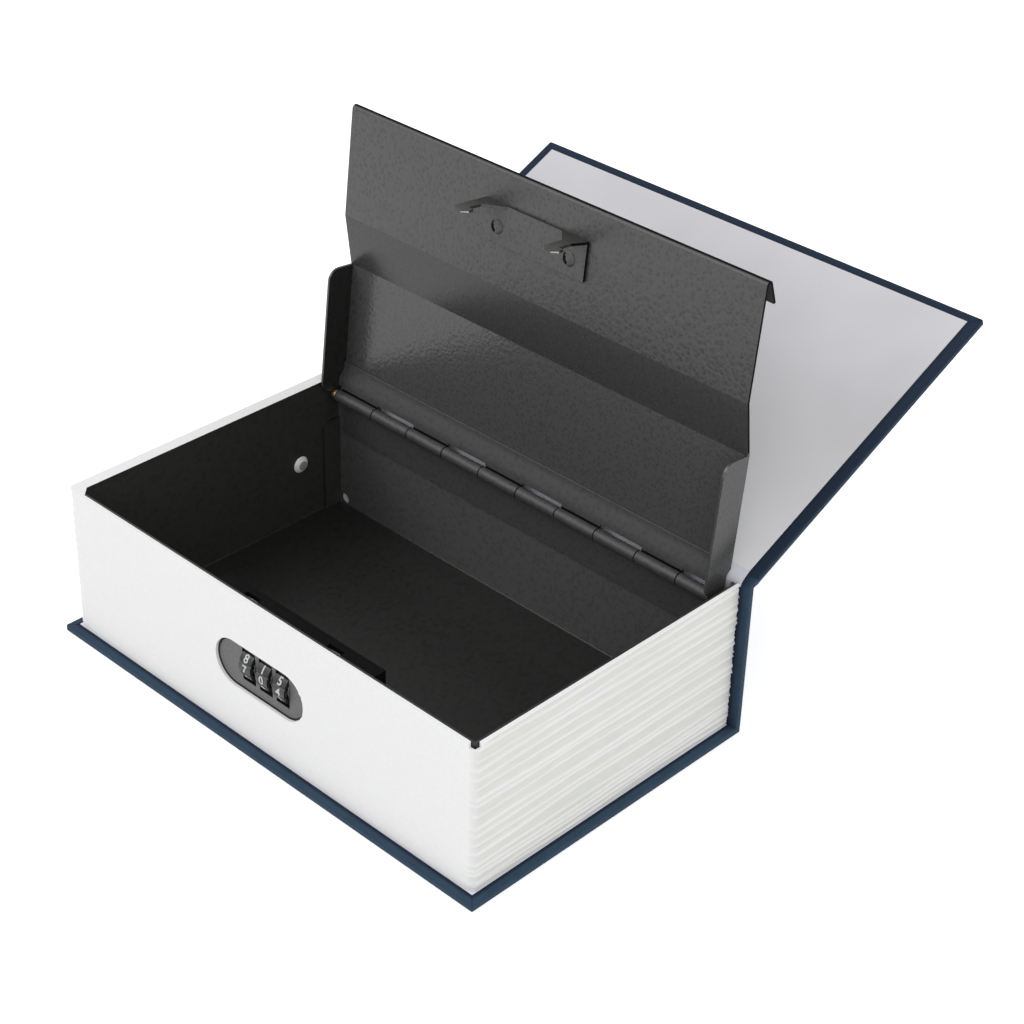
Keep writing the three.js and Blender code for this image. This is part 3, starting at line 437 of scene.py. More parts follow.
shell = bmesh.new()
outline = (
    (-BLOCK_SIDE, BLOCK_BACK),
    (-BLOCK_SIDE, BLOCK_FORE),
    (BLOCK_SIDE, BLOCK_FORE),
    (BLOCK_SIDE, BLOCK_BACK),
    (BLOCK_SIDE - THIN_WALL, BLOCK_BACK),
    (BLOCK_SIDE - THIN_WALL, BLOCK_FORE + THIN_WALL),
    (HEAD_WALL - BLOCK_SIDE + CORNER_STEP, BLOCK_FORE + THIN_WALL),
    (HEAD_WALL - BLOCK_SIDE, BLOCK_FORE + THIN_WALL + CORNER_STEP),
    (HEAD_WALL - BLOCK_SIDE, BLOCK_BACK),
)
shell_corners = [shell.verts.new((x, y, BLOCK_BOTTOM)) for x, y in outline]
top = shell.faces.new(shell_corners)
bmesh.ops.bevel(
    shell,
    geom=shell_corners[1:3],
    offset=BLOCK_ROUND,
    affect="VERTICES",
    segments=8,
    profile=0.5,
    material=-1,
)
for edge in [e for e in shell.edges if e.calc_length() > LONG_SIDE]:
    ends = [vert.co for vert in edge.verts]
    if all(abs(end.x) > BLOCK_SIDE - 1e-6 or end.y < BLOCK_FORE + 1e-6 for end in ends):
        cuts = FORE_CUTS if abs(ends[0].x - ends[1].x) > LONG_SIDE else END_CUTS
        bmesh.ops.bisect_edges(shell, edges=[edge], cuts=cuts)
top = max(shell.faces, key=lambda face: len(face.verts))
ring_count = round((BLOCK_TOP - BLOCK_BOTTOM) / RING_STEP)
ring_rise = (BLOCK_TOP - BLOCK_BOTTOM) / ring_count
for ring in range(ring_count):
    grown = bmesh.ops.extrude_face_region(shell, geom=[top])["geom"]
    if ring > 0:
        shell.faces.remove(top)  # the first face stays, as the shell's underside
    top = next(item for item in grown if isinstance(item, bmesh.types.BMFace))
    bmesh.ops.translate(shell, vec=(0, 0, ring_rise), verts=top.verts)


def ridge_at(along, height):
    """How far the page edges stand out, from 0 to 1, so far along the side and up the block."""
    out = 0
    for number, middle in enumerate(LOW_RIDGES + HIGH_RIDGES):
        drift = 0
        for length, row, seed, rise in RIDGE_WAVES:
            drift += noise.noise(Vector((along / MM / length, number * row, seed))) * rise
        strong = 0.85 + 0.35 * noise.noise(Vector((along / MM / 25, number * 5.7, 9)))
        away = (height / MM - middle - drift) / (0.42 + 0.13 * (number % 3))
        out = max(out, strong * exp(-away * away))
    return min(out, 1)


valley_shade_mark = shell.verts.layers.float.new(PAGE_VALLEY_SHADE)
for vert in shell.verts:
    x, y, z = vert.co
    inner = abs(x) < BLOCK_SIDE - THIN_WALL + 1e-6 and y > BLOCK_FORE + THIN_WALL - 1e-6
    at_head = x < 0 and x > HEAD_WALL - BLOCK_SIDE - 1e-6 and y > BLOCK_FORE + THIN_WALL - 1e-6
    if at_head and z > BLOCK_TOP - 1e-6:
        cut_off = y < BLOCK_FORE + THIN_WALL + CORNER_STEP / 2
        vert.co.x = LIP_EDGE + LIP_CORNER * cut_off
        vert.co.y += LIP_CORNER * (not cut_off and y < 0)
    if inner or at_head:
        continue
    side = 1 if x > 0 else -1
    fade = max(0, 1 - (BLOCK_SIDE - abs(x)) / RIDGE_FADE)
    along = y if abs(x) > BLOCK_SIDE - BLOCK_ROUND else BLOCK_FORE
    hollow = 0 if z > BLOCK_TOP - TOP_BAND else 1 - ridge_at(along, z - BLOCK_BOTTOM)
    if abs(x) > BLOCK_SIDE - BLOCK_ROUND:
        vert.co.x -= side * RIDGE_RISE * hollow
    if y < BLOCK_FORE + BLOCK_ROUND:
        vert.co.y += 0.6 * RIDGE_RISE * hollow * fade**1.5
    # The valleys on the end faces are marked for the painted shade.
    end_face = min(1, max(0, (y - BLOCK_FORE) / BLOCK_ROUND))
    vert[valley_shade_mark] = hollow * end_face if abs(x) > BLOCK_SIDE - BLOCK_ROUND else 0
    if y > BLOCK_BACK - 1e-6:
        vert.co.y -= abs(noise.noise(Vector((side * 3, 0, z / MM * 1.4)))) * PAGE_FRAY
bmesh.ops.recalc_face_normals(shell, faces=shell.faces)


def stadium_cutter(width, height, middle, front, back, torn=0.0):
    """A cutting solid with half-round ends; its right end can be torn a little."""
    work = block(((-width / 2, front, middle - height / 2), (width / 2, back, middle + height / 2)))
    ends = [e for e in work.edges if abs(e.verts[0].co.y - e.verts[1].co.y) > 1e-4]
    round_edges(work, ends, height / 2 * 0.999, 16)
    for vert in work.verts:
        if torn and vert.co.x > width / 2 - height / 3:
            vert.co.x += torn * noise.noise(Vector((vert.co.z / MM * 1.1, 2, 4)))
    return work


def cut_out(piece, cutter):
    """Cut one solid out of another, and throw the cutter away."""
    tool = bpy.data.objects.new("cutter", bpy.data.meshes.new("cutter"))
    cutter.to_mesh(tool.data)
    cutter.free()
    bpy.context.scene.collection.objects.link(tool)
    cut = piece.modifiers.new("cut", "BOOLEAN")
    cut.object = tool
    cut.solver = "EXACT"
    bpy.context.view_layer.update()
    shaped = piece.evaluated_get(bpy.context.evaluated_depsgraph_get())
    piece.data = bpy.data.meshes.new_from_object(shaped)
    piece.modifiers.clear()
    bpy.data.objects.remove(tool)


page_shell = finished(shell, "page_shell", pages, 50)
cut_out(
    page_shell,
    stadium_cutter(*LOCK_HOLE, LOCK_MIDDLE, BLOCK_FORE - MM, BLOCK_FORE + 2 * MM, HOLE_TEAR),
)
reach, drop = NOTCH
cut_out(
    page_shell,
    block(
        (
            (BLOCK_SIDE - reach, BLOCK_FORE - MM, BLOCK_TOP - drop),
            (BLOCK_SIDE + MM, BLOCK_FORE + reach, BLOCK_TOP + MM),
        )
    ),
)
page_shell.data.set_sharp_from_angle(angle=radians(50))
stands_for(page_shell, "page_block", "book")

# Steel box: 0.8 mm sheet, folded up, welded at the corner tabs and enamelled satin black. Its edges and
# bends are painted lighter as painted highlights; the back wall's and left wall's inner faces are
# painted lighter as painted light, the back wall with a coarser relief.
EDGE_BREAK = 0.13 * MM
PEEL_CELL = 1.6 * MM
PEEL_DEPTH = 0.03 * MM
DROP_CELL = 1.3 * MM
DROP_DEPTH = 0.05 * MM


def enamel(name, dark, light, roughness, cell, depth, specular=0.5):
    """Baked enamel: gloss over the faint orange peel or the hammered cells of the paint."""
    made = new_finish(name, light, roughness, specular=specular)
    place = add_node(made, "TexCoord", {}).outputs["Object"]
    peel = blotches(made, place, cell, 1)
    bent = add_node(made, "VectorMath", {0: place, 1: (0, 0, 0)}, operation="ADD")
    swirl = add_node(made, "TexNoise", {"Vector": place, "Scale": 1 / cell, "Detail": 1})
    sockets = {0: swirl.outputs["Color"], "Scale": cell * 0.8}
    shift = add_node(made, "VectorMath", sockets, operation="SCALE")
    made.node_tree.links.new(shift.outputs["Vector"], bent.inputs[1])
    sockets = {"Vector": bent.outputs["Vector"], "Scale": 0.75 / cell, "Smoothness": 0.5}
    cells = add_node(made, "TexVoronoi", sockets, feature="SMOOTH_F1").outputs["Distance"]
    both = calculate(made, "ADD", calculate(made, "MULTIPLY", peel, 0.5), cells)
    feed(made, "Base Color", tones(made, both, dark, light, 0.35, 0.75))
    feed(made, "Roughness", levels(made, peel, roughness - 0.05, roughness + 0.07))
    feed(made, "Normal", relief(made, both, depth))
    return made


black_enamel = enamel(
    "satin black enamel", shade(27, 27, 26), shade(37, 37, 36), 0.42, PEEL_CELL, PEEL_DEPTH, 0.4
)
# Painted highlights: a lighter enamel for the rounded edges and bends.
highlight_enamel = enamel(
    "enamel painted light on edges and bends", shade(66, 66, 65), shade(78, 78, 77), 0.4, PEEL_CELL, PEEL_DEPTH
)
# Painted light on the box's left wall and painted shade on the bracket's teeth: a mid enamel between the
# black and the lid's grey.
light_and_shade_enamel = enamel(
    "mid enamel for painted light and shade", shade(42, 42, 40), shade(52, 52, 50), 0.42, PEEL_CELL, PEEL_DEPTH
)
# Painted light: a lighter enamel for the box's back wall.
back_wall_light_enamel = enamel(
    "back wall enamel painted light", shade(70, 70, 70), shade(82, 82, 82), 0.45, DROP_CELL, DROP_DEPTH
)


MAIN, RIM, BEND, SECOND, THIRD, FOURTH = range(6)  # a piece's finishes, in their order


def edge_broken(
    node, name, material, radius=EDGE_BREAK, segments=2, crisp=32, rim=None, bend=None, level=None
):
    """A copy of a CAD piece with its triangles joined into faces and its sharp edges broken. Its
    outer edges can have a finish of their own, the rim, and its inner corners too, the bend. Its
    faces can be divided at a level."""
    work = bmesh.new()
    work.from_mesh(frame["nodes"][node].data)
    bmesh.ops.remove_doubles(work, verts=work.verts, dist=2e-6)
    bmesh.ops.dissolve_limit(
        work, angle_limit=radians(0.6), verts=work.verts, edges=work.edges, delimit=set()
    )
    if level is not None:
        score(work, (0, 0, level), (0, 0, 1))
    sharp = [edge for edge in work.edges if edge.is_manifold and edge.calc_face_angle() > radians(crisp)]
    for face in round_edges(work, sharp, radius, segments):
        hollow = any(not e.is_convex and e.calc_face_angle(0) > radians(10) for e in face.edges)
        face.material_index = BEND if hollow else RIM
    piece = keep_faces_flat(finished(work, name, material, 40))
    for finish in (rim, bend):
        piece.data.materials.append(finish or material)
    return piece


BODY_OF = {
    node: body
    for body, nodes in frame["record"]["behaviour"]["bodies"].items()
    for node in nodes
}


def refine(node, material, extra=(), **choices):
    """Put an edge-broken copy in a CAD node's place, with any extra finishes after its three."""
    piece = edge_broken(node, node + "_finished", material, **choices)
    for finish in extra:
        piece.data.materials.append(finish)
    stands_for(piece, node, BODY_OF[node])
    return piece


BACK_WALL_FRONT = BLOCK_BACK - 1.2 * MM
box = refine("tray", black_enamel, (back_wall_light_enamel, light_and_shade_enamel), rim=highlight_enamel, bend=highlight_enamel)
# Painted light: the back wall's and the left wall's inner faces are painted lighter.
for face in box.data.polygons:
    if face.normal.y < -0.9 and face.center.y > BACK_WALL_FRONT:
        face.material_index = SECOND
    elif face.normal.x > 0.9 and face.center.x < 0:
        face.material_index = THIRD

# Two rivets: bright steel with dished heads, which hold the page shell on the box's end walls.
# Their shanks go through the sheet, and the dish is painted darker than its rim, as painted shade.
DISH_SHARE = 0.55
DISH_DEPTH = 0.3 * MM
rivet_steel = new_finish("bright rivet steel", shade(246, 246, 245), 0.45)
steel_place = add_node(rivet_steel, "TexCoord", {}).outputs["Object"]
scuffs = blotches(rivet_steel, steel_place, 0.8 * MM, 4)
feed(rivet_steel, "Base Color", tones(rivet_steel, scuffs, shade(242, 242, 240), shade(252, 252, 251)))
feed(rivet_steel, "Roughness", levels(rivet_steel, scuffs, 0.38, 0.55))
feed(rivet_steel, "Normal", relief(rivet_steel, scuffs, 0.02 * MM, 0.5))
# Grey steel: painted shade in the rivets' dishes, and painted highlights on the barbs' tips.
glint_and_shade_steel = new_finish("grey steel for painted shade and glints", shade(176, 176, 175), 0.5, 0.4)
dull_place = add_node(glint_and_shade_steel, "TexCoord", {}).outputs["Object"]
dull_spots = blotches(glint_and_shade_steel, dull_place, 0.8 * MM)
feed(glint_and_shade_steel, "Roughness", levels(glint_and_shade_steel, dull_spots, 0.45, 0.6))


def dish(rivet):
    """Sink the middle of a rivet's head, and paint it darker there as painted shade."""
    spots = [vert.co for vert in rivet.data.vertices]
    middle = sum(spots, Vector()) / len(spots)
    reach = max((spot - middle).yz.length for spot in spots) * DISH_SHARE
    for face in rivet.data.polygons:
        if (face.center - middle).yz.length < reach:
            face.material_index = SECOND
    for spot in spots:
        share = (spot - middle).yz.length / reach
        if share < 1 and abs(spot.x) < abs(middle.x):
            spot.x *= 1 + DISH_DEPTH * (1 - share * share) / abs(spot.x)


for node in ("tray_rivet_left", "tray_rivet_right"):
    dish(refine(node, rivet_steel, (glint_and_shade_steel,), radius=0.05 * MM, crisp=50))

# Lock faceplate: moulded grey stadium with three windows, set in the shell's hole, its flange
# held behind the steel wall.
WINDOW_EDGE = 0.3 * MM
lock_grey = enamel(
    "moulded lock grey", shade(79, 79, 80), shade(91, 91, 92), 0.5, 0.7 * MM, 0.015 * MM
)
# Painted shade: near-black enamel for the window openings' inner faces.
window_shade = enamel(
    "painted shade in the windows", shade(12, 12, 12), shade(18, 18, 18), 0.6, 0.7 * MM, 0.01 * MM, 0.2
)
faceplate = refine("lock_faceplate", lock_grey, (window_shade,), radius=0.2 * MM, segments=3)
front_face = min(vert.co.y for vert in faceplate.data.vertices)
# Faces set back from the front, in the windows, get the painted shade.
for face in faceplate.data.polygons:
    if face.center.y > front_face + WINDOW_EDGE:
        face.material_index = SECOND

# Number dials: three black moulded wheels that turn on the lock's sleeves, with ten figures
# each, printed round the rim.
DIAL_RADIUS = 5.6 * MM
DIAL_Y = -48.5 * MM
DIAL_Z = 28.9 * MM
DIAL_X = (-5.3 * MM, 2 * MM, 9.3 * MM)
FIGURE_HEIGHT = 2.7 * MM
FIGURE_LIFT = 0.02 * MM
FIGURE_THICKNESS = 0.06 * MM
FIGURE_WEIGHT = 0.07 * MM
CAPITAL_SHARE = 0.72  # of a letter's nominal size
FRONT_FIGURES = (7, 0, 4)

dial_black = enamel(
    "moulded dial black", shade(14, 14, 14), shade(24, 24, 24), 0.38, 0.5 * MM, 0.01 * MM
)
figure_white = new_finish("printed figure white", shade(200, 202, 204), 0.55)
figure_place = add_node(figure_white, "TexCoord", {}).outputs["Object"]
print_wear = blotches(figure_white, figure_place, 0.35 * MM, 4)
worn_white = tones(figure_white, print_wear, shade(168, 170, 172), shade(214, 216, 218))
feed(figure_white, "Base Color", worn_white)


def figure_mesh(number):
    """One printed figure, drawn flat and cut into strips so that it can follow the dial."""
    curve = bpy.data.curves.new("figure", "FONT")
    curve.body = str(number)
    curve.align_x = "CENTER"
    curve.align_y = "CENTER"
    curve.size = FIGURE_HEIGHT / CAPITAL_SHARE
    curve.offset = FIGURE_WEIGHT
    curve.extrude = FIGURE_THICKNESS / 2
    drawn = bpy.data.objects.new("figure", curve)
    work = bmesh.new()
    work.from_mesh(drawn.to_mesh())
    bpy.data.objects.remove(drawn)
    middle = (max(v.co.y for v in work.verts) + min(v.co.y for v in work.verts)) / 2
    bmesh.ops.translate(work, vec=(0, -middle, 0), verts=work.verts)
    for step in range(-5, 6):
        score(work, (0, step * 0.25 * MM, 0), (0, 1, 0))
    return work


for dial, (middle, front) in enumerate(zip(DIAL_X, FRONT_FIGURES), start=1):
    refine(f"dial_{dial}", dial_black, radius=0.12 * MM)
    printed = bmesh.new()
    for number in range(10):
        flat = figure_mesh(number)
        turn = pi - (number - front) * pi / 5
        for vert in flat.verts:
            out = DIAL_RADIUS + FIGURE_LIFT + FIGURE_THICKNESS / 2 + vert.co.z
            angle = turn - vert.co.y / DIAL_RADIUS
            vert.co = (middle + vert.co.x, DIAL_Y + out * cos(angle), DIAL_Z + out * sin(angle))
        mesh = bpy.data.meshes.new("figure")
        flat.to_mesh(mesh)
        flat.free()
        printed.from_mesh(mesh)
    figures = finished(printed, f"dial_figures_{dial}", figure_white, 40)
    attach(figures, BODY_OF[f"dial_{dial}"])

# Lock works: the black case behind the faceplate, its back plate and screws, and in it the
# bright sleeves, spindle, latch bar, springs and reset lever.
lock_case = enamel(
    "black lock case", shade(7, 7, 7), shade(12, 12, 12), 0.8, 0.9 * MM, 0.02 * MM, 0.1
)
for node in ("lock_housing", "lock_back_plate"):
    refine(node, lock_case)
bright_steel = new_finish("drawn bright steel", shade(190, 190, 188), 0.34, 1.0)
bright_place = add_node(bright_steel, "TexCoord", {}).outputs["Object"]
drawn_along = add_node(bright_steel, "Mapping", {"Vector": bright_place, "Scale": (0.05, 1, 1)})
draw_lines = blotches(bright_steel, drawn_along.outputs["Vector"], 0.25 * MM, 4)
drawn_tones = tones(bright_steel, draw_lines, shade(170, 170, 168), shade(205, 205, 203))
feed(bright_steel, "Base Color", drawn_tones)
feed(bright_steel, "Roughness", levels(bright_steel, draw_lines, 0.26, 0.44))
feed(bright_steel, "Normal", relief(bright_steel, draw_lines, 0.01 * MM, 0.5))
for node in ("reset_lever", "latch_bar", "spindle", "detent_spring"):
    refine(node, bright_steel, radius=0.08 * MM)
for number in (1, 2, 3):
    refine(f"cam_sleeve_{number}", bright_steel, radius=0.05 * MM)
for number in (1, 2, 3, 4):
    refine(f"lock_screw_{number}", bright_steel, radius=0.05 * MM, crisp=50)
give("latch_spring", bright_steel)

# Piano hinge: two leaves of enamelled strip rolled round a brass pin, knuckle by knuckle. One is
# welded on the box's back wall and one under the lid.
hinge_enamel = enamel(
    "hinge leaf enamel", shade(54, 54, 54), shade(64, 64, 64), 0.6, DROP_CELL, DROP_DEPTH, 0.4
)
knuckle_enamel = enamel(
    "hinge knuckle enamel", shade(50, 50, 50), shade(62, 62, 62), 0.5, DROP_CELL, DROP_DEPTH
)
# Painted shade: near-black enamel for the hinge's crevice, dark outlines along the lid's and bracket's
# edges, and the rivets' shadows.
shade_enamel = enamel(
    "enamel painted dark as shade", shade(10, 10, 9), shade(18, 18, 16), 0.8, 0.8 * MM, 0.02 * MM, 0.05
)
HINGE_AXIS = Vector((0, 49.6, 47.6)) * MM
KNUCKLE_RADIUS = 2.1 * MM
CREVICE = 0.7 * MM
CREVICE_TOP = 49.7 * MM
# The leaves' rounded edges get painted highlights, and the crevice round the barrel gets painted shade.
for node in ("hinge_leaf_tray", "hinge_leaf_lid"):
    leaf = refine(
        node,
        hinge_enamel,
        (knuckle_enamel, shade_enamel),
        crisp=40,
        rim=highlight_enamel,
        level=CREVICE_TOP,
    )
    # Faces round the barrel get knuckle enamel; those just outside it, in the crevice, get the painted
    # shade.
    for face in leaf.data.polygons:
        away = (face.center - HINGE_AXIS).yz.length
        in_crevice = face.normal.y < -0.9 and face.center.y > HINGE_AXIS.y
        if away < KNUCKLE_RADIUS and face.material_index == MAIN and not in_crevice:
            face.material_index = SECOND
        elif away < KNUCKLE_RADIUS + CREVICE:
            face.material_index = THIRD
brass = new_finish("hinge pin brass", shade(206, 180, 122), 0.3, 1.0)
brass_place = add_node(brass, "TexCoord", {}).outputs["Object"]
tarnish = blotches(brass, brass_place, 1.4 * MM, 4)
feed(brass, "Base Color", tones(brass, tarnish, shade(176, 148, 92), shade(220, 198, 144)))
feed(brass, "Roughness", levels(brass, tarnish, 0.24, 0.42))
refine("hinge_pin", brass, radius=0.2 * MM, crisp=50)

# Lid: the same sheet pressed with a raised half, an inclined step, two flanges and a hem folded back at
# its free edge. Its dark grey hammered enamel is smoother where the step stretched it. The step, the
# right flange and the hem's front are painted darker as painted reflection; the left flange is painted
# black and the edges and hem near black, as painted shade.
STEP_FOOT = 91.8 * MM
STEP_HEAD = 109.6 * MM
HEM_BEND = 144.9 * MM
FLANGE_TOP = 92.6 * MM
HAMMER_CELL = 0.9 * MM
hammered = enamel(
    "grey hammered enamel", shade(65, 65, 65), shade(76, 76, 76), 0.18, HAMMER_CELL, 0.05 * MM, 0.4
)
raised_enamel = enamel(
    "hammered enamel of the raised half", shade(49, 49, 50), shade(67, 67, 68), 0.4, 1.1 * MM, 0.1 * MM
)
# Painted reflection: a darker enamel for the step, the right flange and the hem's front faces.
step_dark = shade(54, 55, 54)
step_light = shade(62, 63, 62)
step_reflection_enamel = enamel(
    "step enamel painted dark as reflection", step_dark, step_light, 0.25, HAMMER_CELL, 0.02 * MM, 0.33
)
lid = refine(
    "lid",
    hammered,
    (raised_enamel, step_reflection_enamel, black_enamel),
    radius=0.3 * MM,
    crisp=24,
    rim=shade_enamel,
    level=FLANGE_TOP,
)
# Painted reflection and shade: the step, the right flange and the hem's front darker, the left flange
# black, and the side faces, hem and rounded edges near black.
for face in lid.data.polygons:
    faces_sideways = abs(face.normal.x) > 0.9
    if faces_sideways and face.center.z < FLANGE_TOP:
        face.material_index = FOURTH if face.center.x < 0 else THIRD
    elif face.center.z > HEM_BEND:
        face.material_index = THIRD if face.normal.y < -0.5 else RIM
    elif faces_sideways:
        face.material_index = RIM
    elif face.material_index == MAIN and face.center.z > STEP_HEAD:
        face.material_index = SECOND
    elif face.material_index == MAIN and face.center.z > STEP_FOOT:
        face.material_index = THIRD

# Latch bracket: a bent plate with two barbed teeth, riveted under the lid and enamelled with it.
# The barbs' tips carry painted highlights of grey steel, the teeth are painted darker and the side edges
# near black as painted shade, and the rivets' flat heads lean a little, each with a painted shadow on
# one side.
PLATE_PLANE = 53 * MM
GLINT_TIPS = 45.4 * MM
LID_FACING = Vector((0, -0.9945, 0.1045))
HEAD_RISE = 0.9 * MM
HEAD_EDGE = 1.15 * MM
HEAD_LEAN = Vector((0.5, 0, 0.2)) * MM
TIP_MIDDLE = 136.5 * MM
bracket = refine(
    "latch_bracket",
    raised_enamel,
    (light_and_shade_enamel, glint_and_shade_steel),
    radius=0.15 * MM,
    rim=shade_enamel,
    level=TIP_MIDDLE,
)
# Painted highlights of grey steel on the barbs' tips; painted shade on the teeth and up-facing faces,
# darker, and near black on the side faces.
for face in bracket.data.polygons:
    on_tip = face.center.y < GLINT_TIPS and face.center.z < TIP_MIDDLE
    if on_tip and abs(face.normal.x) > 0.3:
        face.material_index = THIRD
    elif face.center.y < PLATE_PLANE or face.normal.z > 0.5:
        face.material_index = SECOND
    elif abs(face.normal.x) > 0.9:
        face.material_index = RIM
for node in ("bracket_rivet_left", "bracket_rivet_right"):
    rivet = refine(node, raised_enamel, (shade_enamel,), radius=0.06 * MM, crisp=50)
    spots = [vert.co for vert in rivet.data.vertices]
    middle = sum(spots, Vector()) / len(spots)
    head_foot = max(spot.dot(LID_FACING) for spot in spots) - HEAD_RISE
    # A painted shadow: the head's faces on the side away from its lean get near-black enamel.
    for face in rivet.data.polygons:
        on_head = face.center.dot(LID_FACING) > head_foot
        if on_head and (middle - face.center).dot(HEAD_LEAN.normalized()) > HEAD_EDGE:
            face.material_index = SECOND
    for spot in spots:
        height = max(0, spot.dot(LID_FACING) - head_foot)
        spot -= LID_FACING * height / 2
        spot += HEAD_LEAN * height / HEAD_RISE

# Front cover: board and cloth as the back cover, hung on the cloth joint and swung open. It is
# made shut and flat, and then turned about its joint.
COVER_AXIS = Vector((0, 56.3, 53.9)) * MM
COVER_TURN = radians(155.2)
COVER_REACH = 113.4 * MM
COVER_ROOT = 1.2 * MM
COVER_INNER = -0.3 * MM
opened = Matrix.Translation(COVER_AXIS) @ Matrix.Rotation(-COVER_TURN, 4, "X")
front_board = board(
    (
        (-BOOK_HALF_WIDTH, -COVER_REACH, COVER_INNER),
        (BOOK_HALF_WIDTH, -COVER_ROOT, COVER_INNER + BOARD),
    ),
    square_edge=lambda edge: min(vert.co.y for vert in edge.verts) > -COVER_ROOT - 1e-6,
    lift=-1,
)
PAPER_SIDE = 86.3 * MM
PAPER_FORE = -110.2 * MM
BORDER_TONE = 0.85
rim_lines(front_board, PAPER_SIDE, PAPER_FORE)


def front_board_dark(place):
    """The turned-in cloth is painted darker all over inside, with painted shade darkest beside the end
    paper and on the outer edge.
    """
    inside = place.z < COVER_INNER + BOARD / 2
    foot = 2 - 2 * beyond(PAPER_SIDE, PAPER_FORE, place) / SHADED if inside else 0
    outer = beside(place.z, COVER_INNER + BOARD - BOARD_ROUND / 2, BOARD_ROUND / 2)
    return max(BORDER_TONE * inside, min(1, foot), 0.95 * outer)


darken(front_board, front_board_dark)
map_cloth(front_board)
front_cover = keep_faces_flat(finished(front_board, "front_cover_cloth", book_cloth, place=opened))
stands_for(front_cover, "front_cover", "cover")

# Front end paper: one white sheet glued inside the cover over the turned-in cloth, which it leaves bare
# as a border. It is painted lighter near the joint, as painted light.
JOINT_SIDE = 72 * MM
FAR_SIDE = 120 * MM
front_paper, front_place, front_clouds = end_paper("front end paper", shade(208, 207, 211))
across = add_node(front_paper, "SeparateXYZ", {"Vector": front_place}).outputs["Y"]
sockets = {"Value": across, "From Min": JOINT_SIDE, "From Max": FAR_SIDE}
painted_light_fade = add_node(front_paper, "MapRange", sockets).outputs["Result"]
# Painted light: the paper is lighter near the joint, fading to its own tone towards the far side.
painted_light_paper = tones(front_paper, front_clouds, shade(232, 232, 235), shade(238, 238, 241))
paper_own_tone = tones(front_paper, front_clouds, shade(202, 201, 205), shade(211, 210, 214))
sockets = {0: painted_light_fade, 6: painted_light_paper, 7: paper_own_tone}
paper_mix = add_node(front_paper, "Mix", sockets, data_type="RGBA")
feed(front_paper, "Base Color", paper_mix.outputs[2])
PAPER_LAP = 2.5 * MM
PAPER_GLUED = COVER_INNER - 0.1 * MM
PAPER_FACE = PAPER_GLUED - PAPER
front_sheet = block(
    ((-PAPER_SIDE, PAPER_FORE, PAPER_FACE), (PAPER_SIDE, -PAPER_LAP, PAPER_GLUED))
)
front_end_paper = finished(front_sheet, "front_end_paper", front_paper, place=opened)
stands_for(front_end_paper, "front_pastedown", "cover")

# Cloth joint: the fold of book cloth, padded by the board's mull, that joins spine and cover. It is
# shaped for the opened cover.
FOLD_REACH = 1.3 * MM
FOLD_STEPS = 14
STRIP_CUTS = 60


def on_cover(reach, outward):
    """A place on the opened cover, from its axis: along it, and towards its outer face."""
    angle = pi - COVER_TURN
    across = reach * cos(angle) + outward * sin(angle)
    up = reach * sin(angle) - outward * cos(angle)
    return COVER_AXIS + Vector((0, across, up))


def fold_line(steps):
    """The fold's inner face from the spine to the cover, with the way it faces."""
    reach = COVER_ROOT
    start = Vector((0, SPINE_INNER, SPINE_TOP))
    hold = start + Vector((0, 0, FOLD_REACH))
    release = on_cover(reach - FOLD_REACH, COVER_INNER)
    end = on_cover(reach, COVER_INNER)
    line = []
    for step in range(steps + 1):
        t = step / steps
        place = start * (1 - t) ** 3 + hold * 3 * t * (1 - t) ** 2
        place += release * 3 * t * t * (1 - t) + end * t**3
        along = (hold - start) * (1 - t) ** 2 + (release - hold) * 2 * t * (1 - t)
        along += (end - release) * t * t
        along.normalize()
        line.append((place, Vector((0, -along.z, along.y))))
    return line


def strip_along_x(outline, half_width):
    """A closed outline in Y and Z, drawn out along X and cut across."""
    work = bmesh.new()
    face = work.faces.new([work.verts.new((-half_width, p.y, p.z)) for p in outline])
    grown = bmesh.ops.extrude_face_region(work, geom=[face])["geom"]
    moved = [item for item in grown if isinstance(item, bmesh.types.BMVert)]
    bmesh.ops.translate(work, vec=(2 * half_width, 0, 0), verts=moved)
    long_edges = [e for e in work.edges if e.calc_length() > half_width]
    bmesh.ops.subdivide_edges(work, edges=long_edges, cuts=STRIP_CUTS)
    bmesh.ops.recalc_face_normals(work, faces=work.faces)
    return work


fold = fold_line(FOLD_STEPS)
outer_from = Vector((0, BOOK_BACK, SPINE_TOP))
outer_to = on_cover(COVER_ROOT, COVER_INNER + BOARD)
outer_line = [outer_from.lerp(outer_to, step / 4) for step in range(5)]
inner_places = [place for place, _ in fold]
cloth_fold = strip_along_x(outer_line + inner_places[::-1], BOOK_HALF_WIDTH)
board_ends = ((outer_from, Vector((0, 0, 1))), (outer_to, on_cover(1, 0) - on_cover(0, 0)))


def turned_in(edge):
    """Whether an edge is one of the fold's two ends, and not its joint with a board."""
    if min(abs(vert.co.x) for vert in edge.verts) < BOOK_HALF_WIDTH - 1e-6:
        return False
    for end, along in board_ends:
        if all(abs((vert.co - end).dot(along)) < 1e-7 for vert in edge.verts):
            return False
    return True


round_edges(cloth_fold, [e for e in cloth_fold.edges if turned_in(e)], BOARD_ROUND, 4)
for reach in (0, SHADED):
    for side in (1, -1):
        score(cloth_fold, (side * (BLOCK_SIDE - 0.5 * MM + reach), 0, 0), (1, 0, 0))


def fold_dark(place):
    """Painted shade on the fold's inner face beside the paper."""
    level = Vector((0, place.y, place.z))
    inside = min((level - spot).length for spot in inner_places) < 0.25 * MM
    foot = 1 - 0.6 * (abs(place.x) - BLOCK_SIDE) / SHADED if inside else 0
    return max(0, min(1, foot))


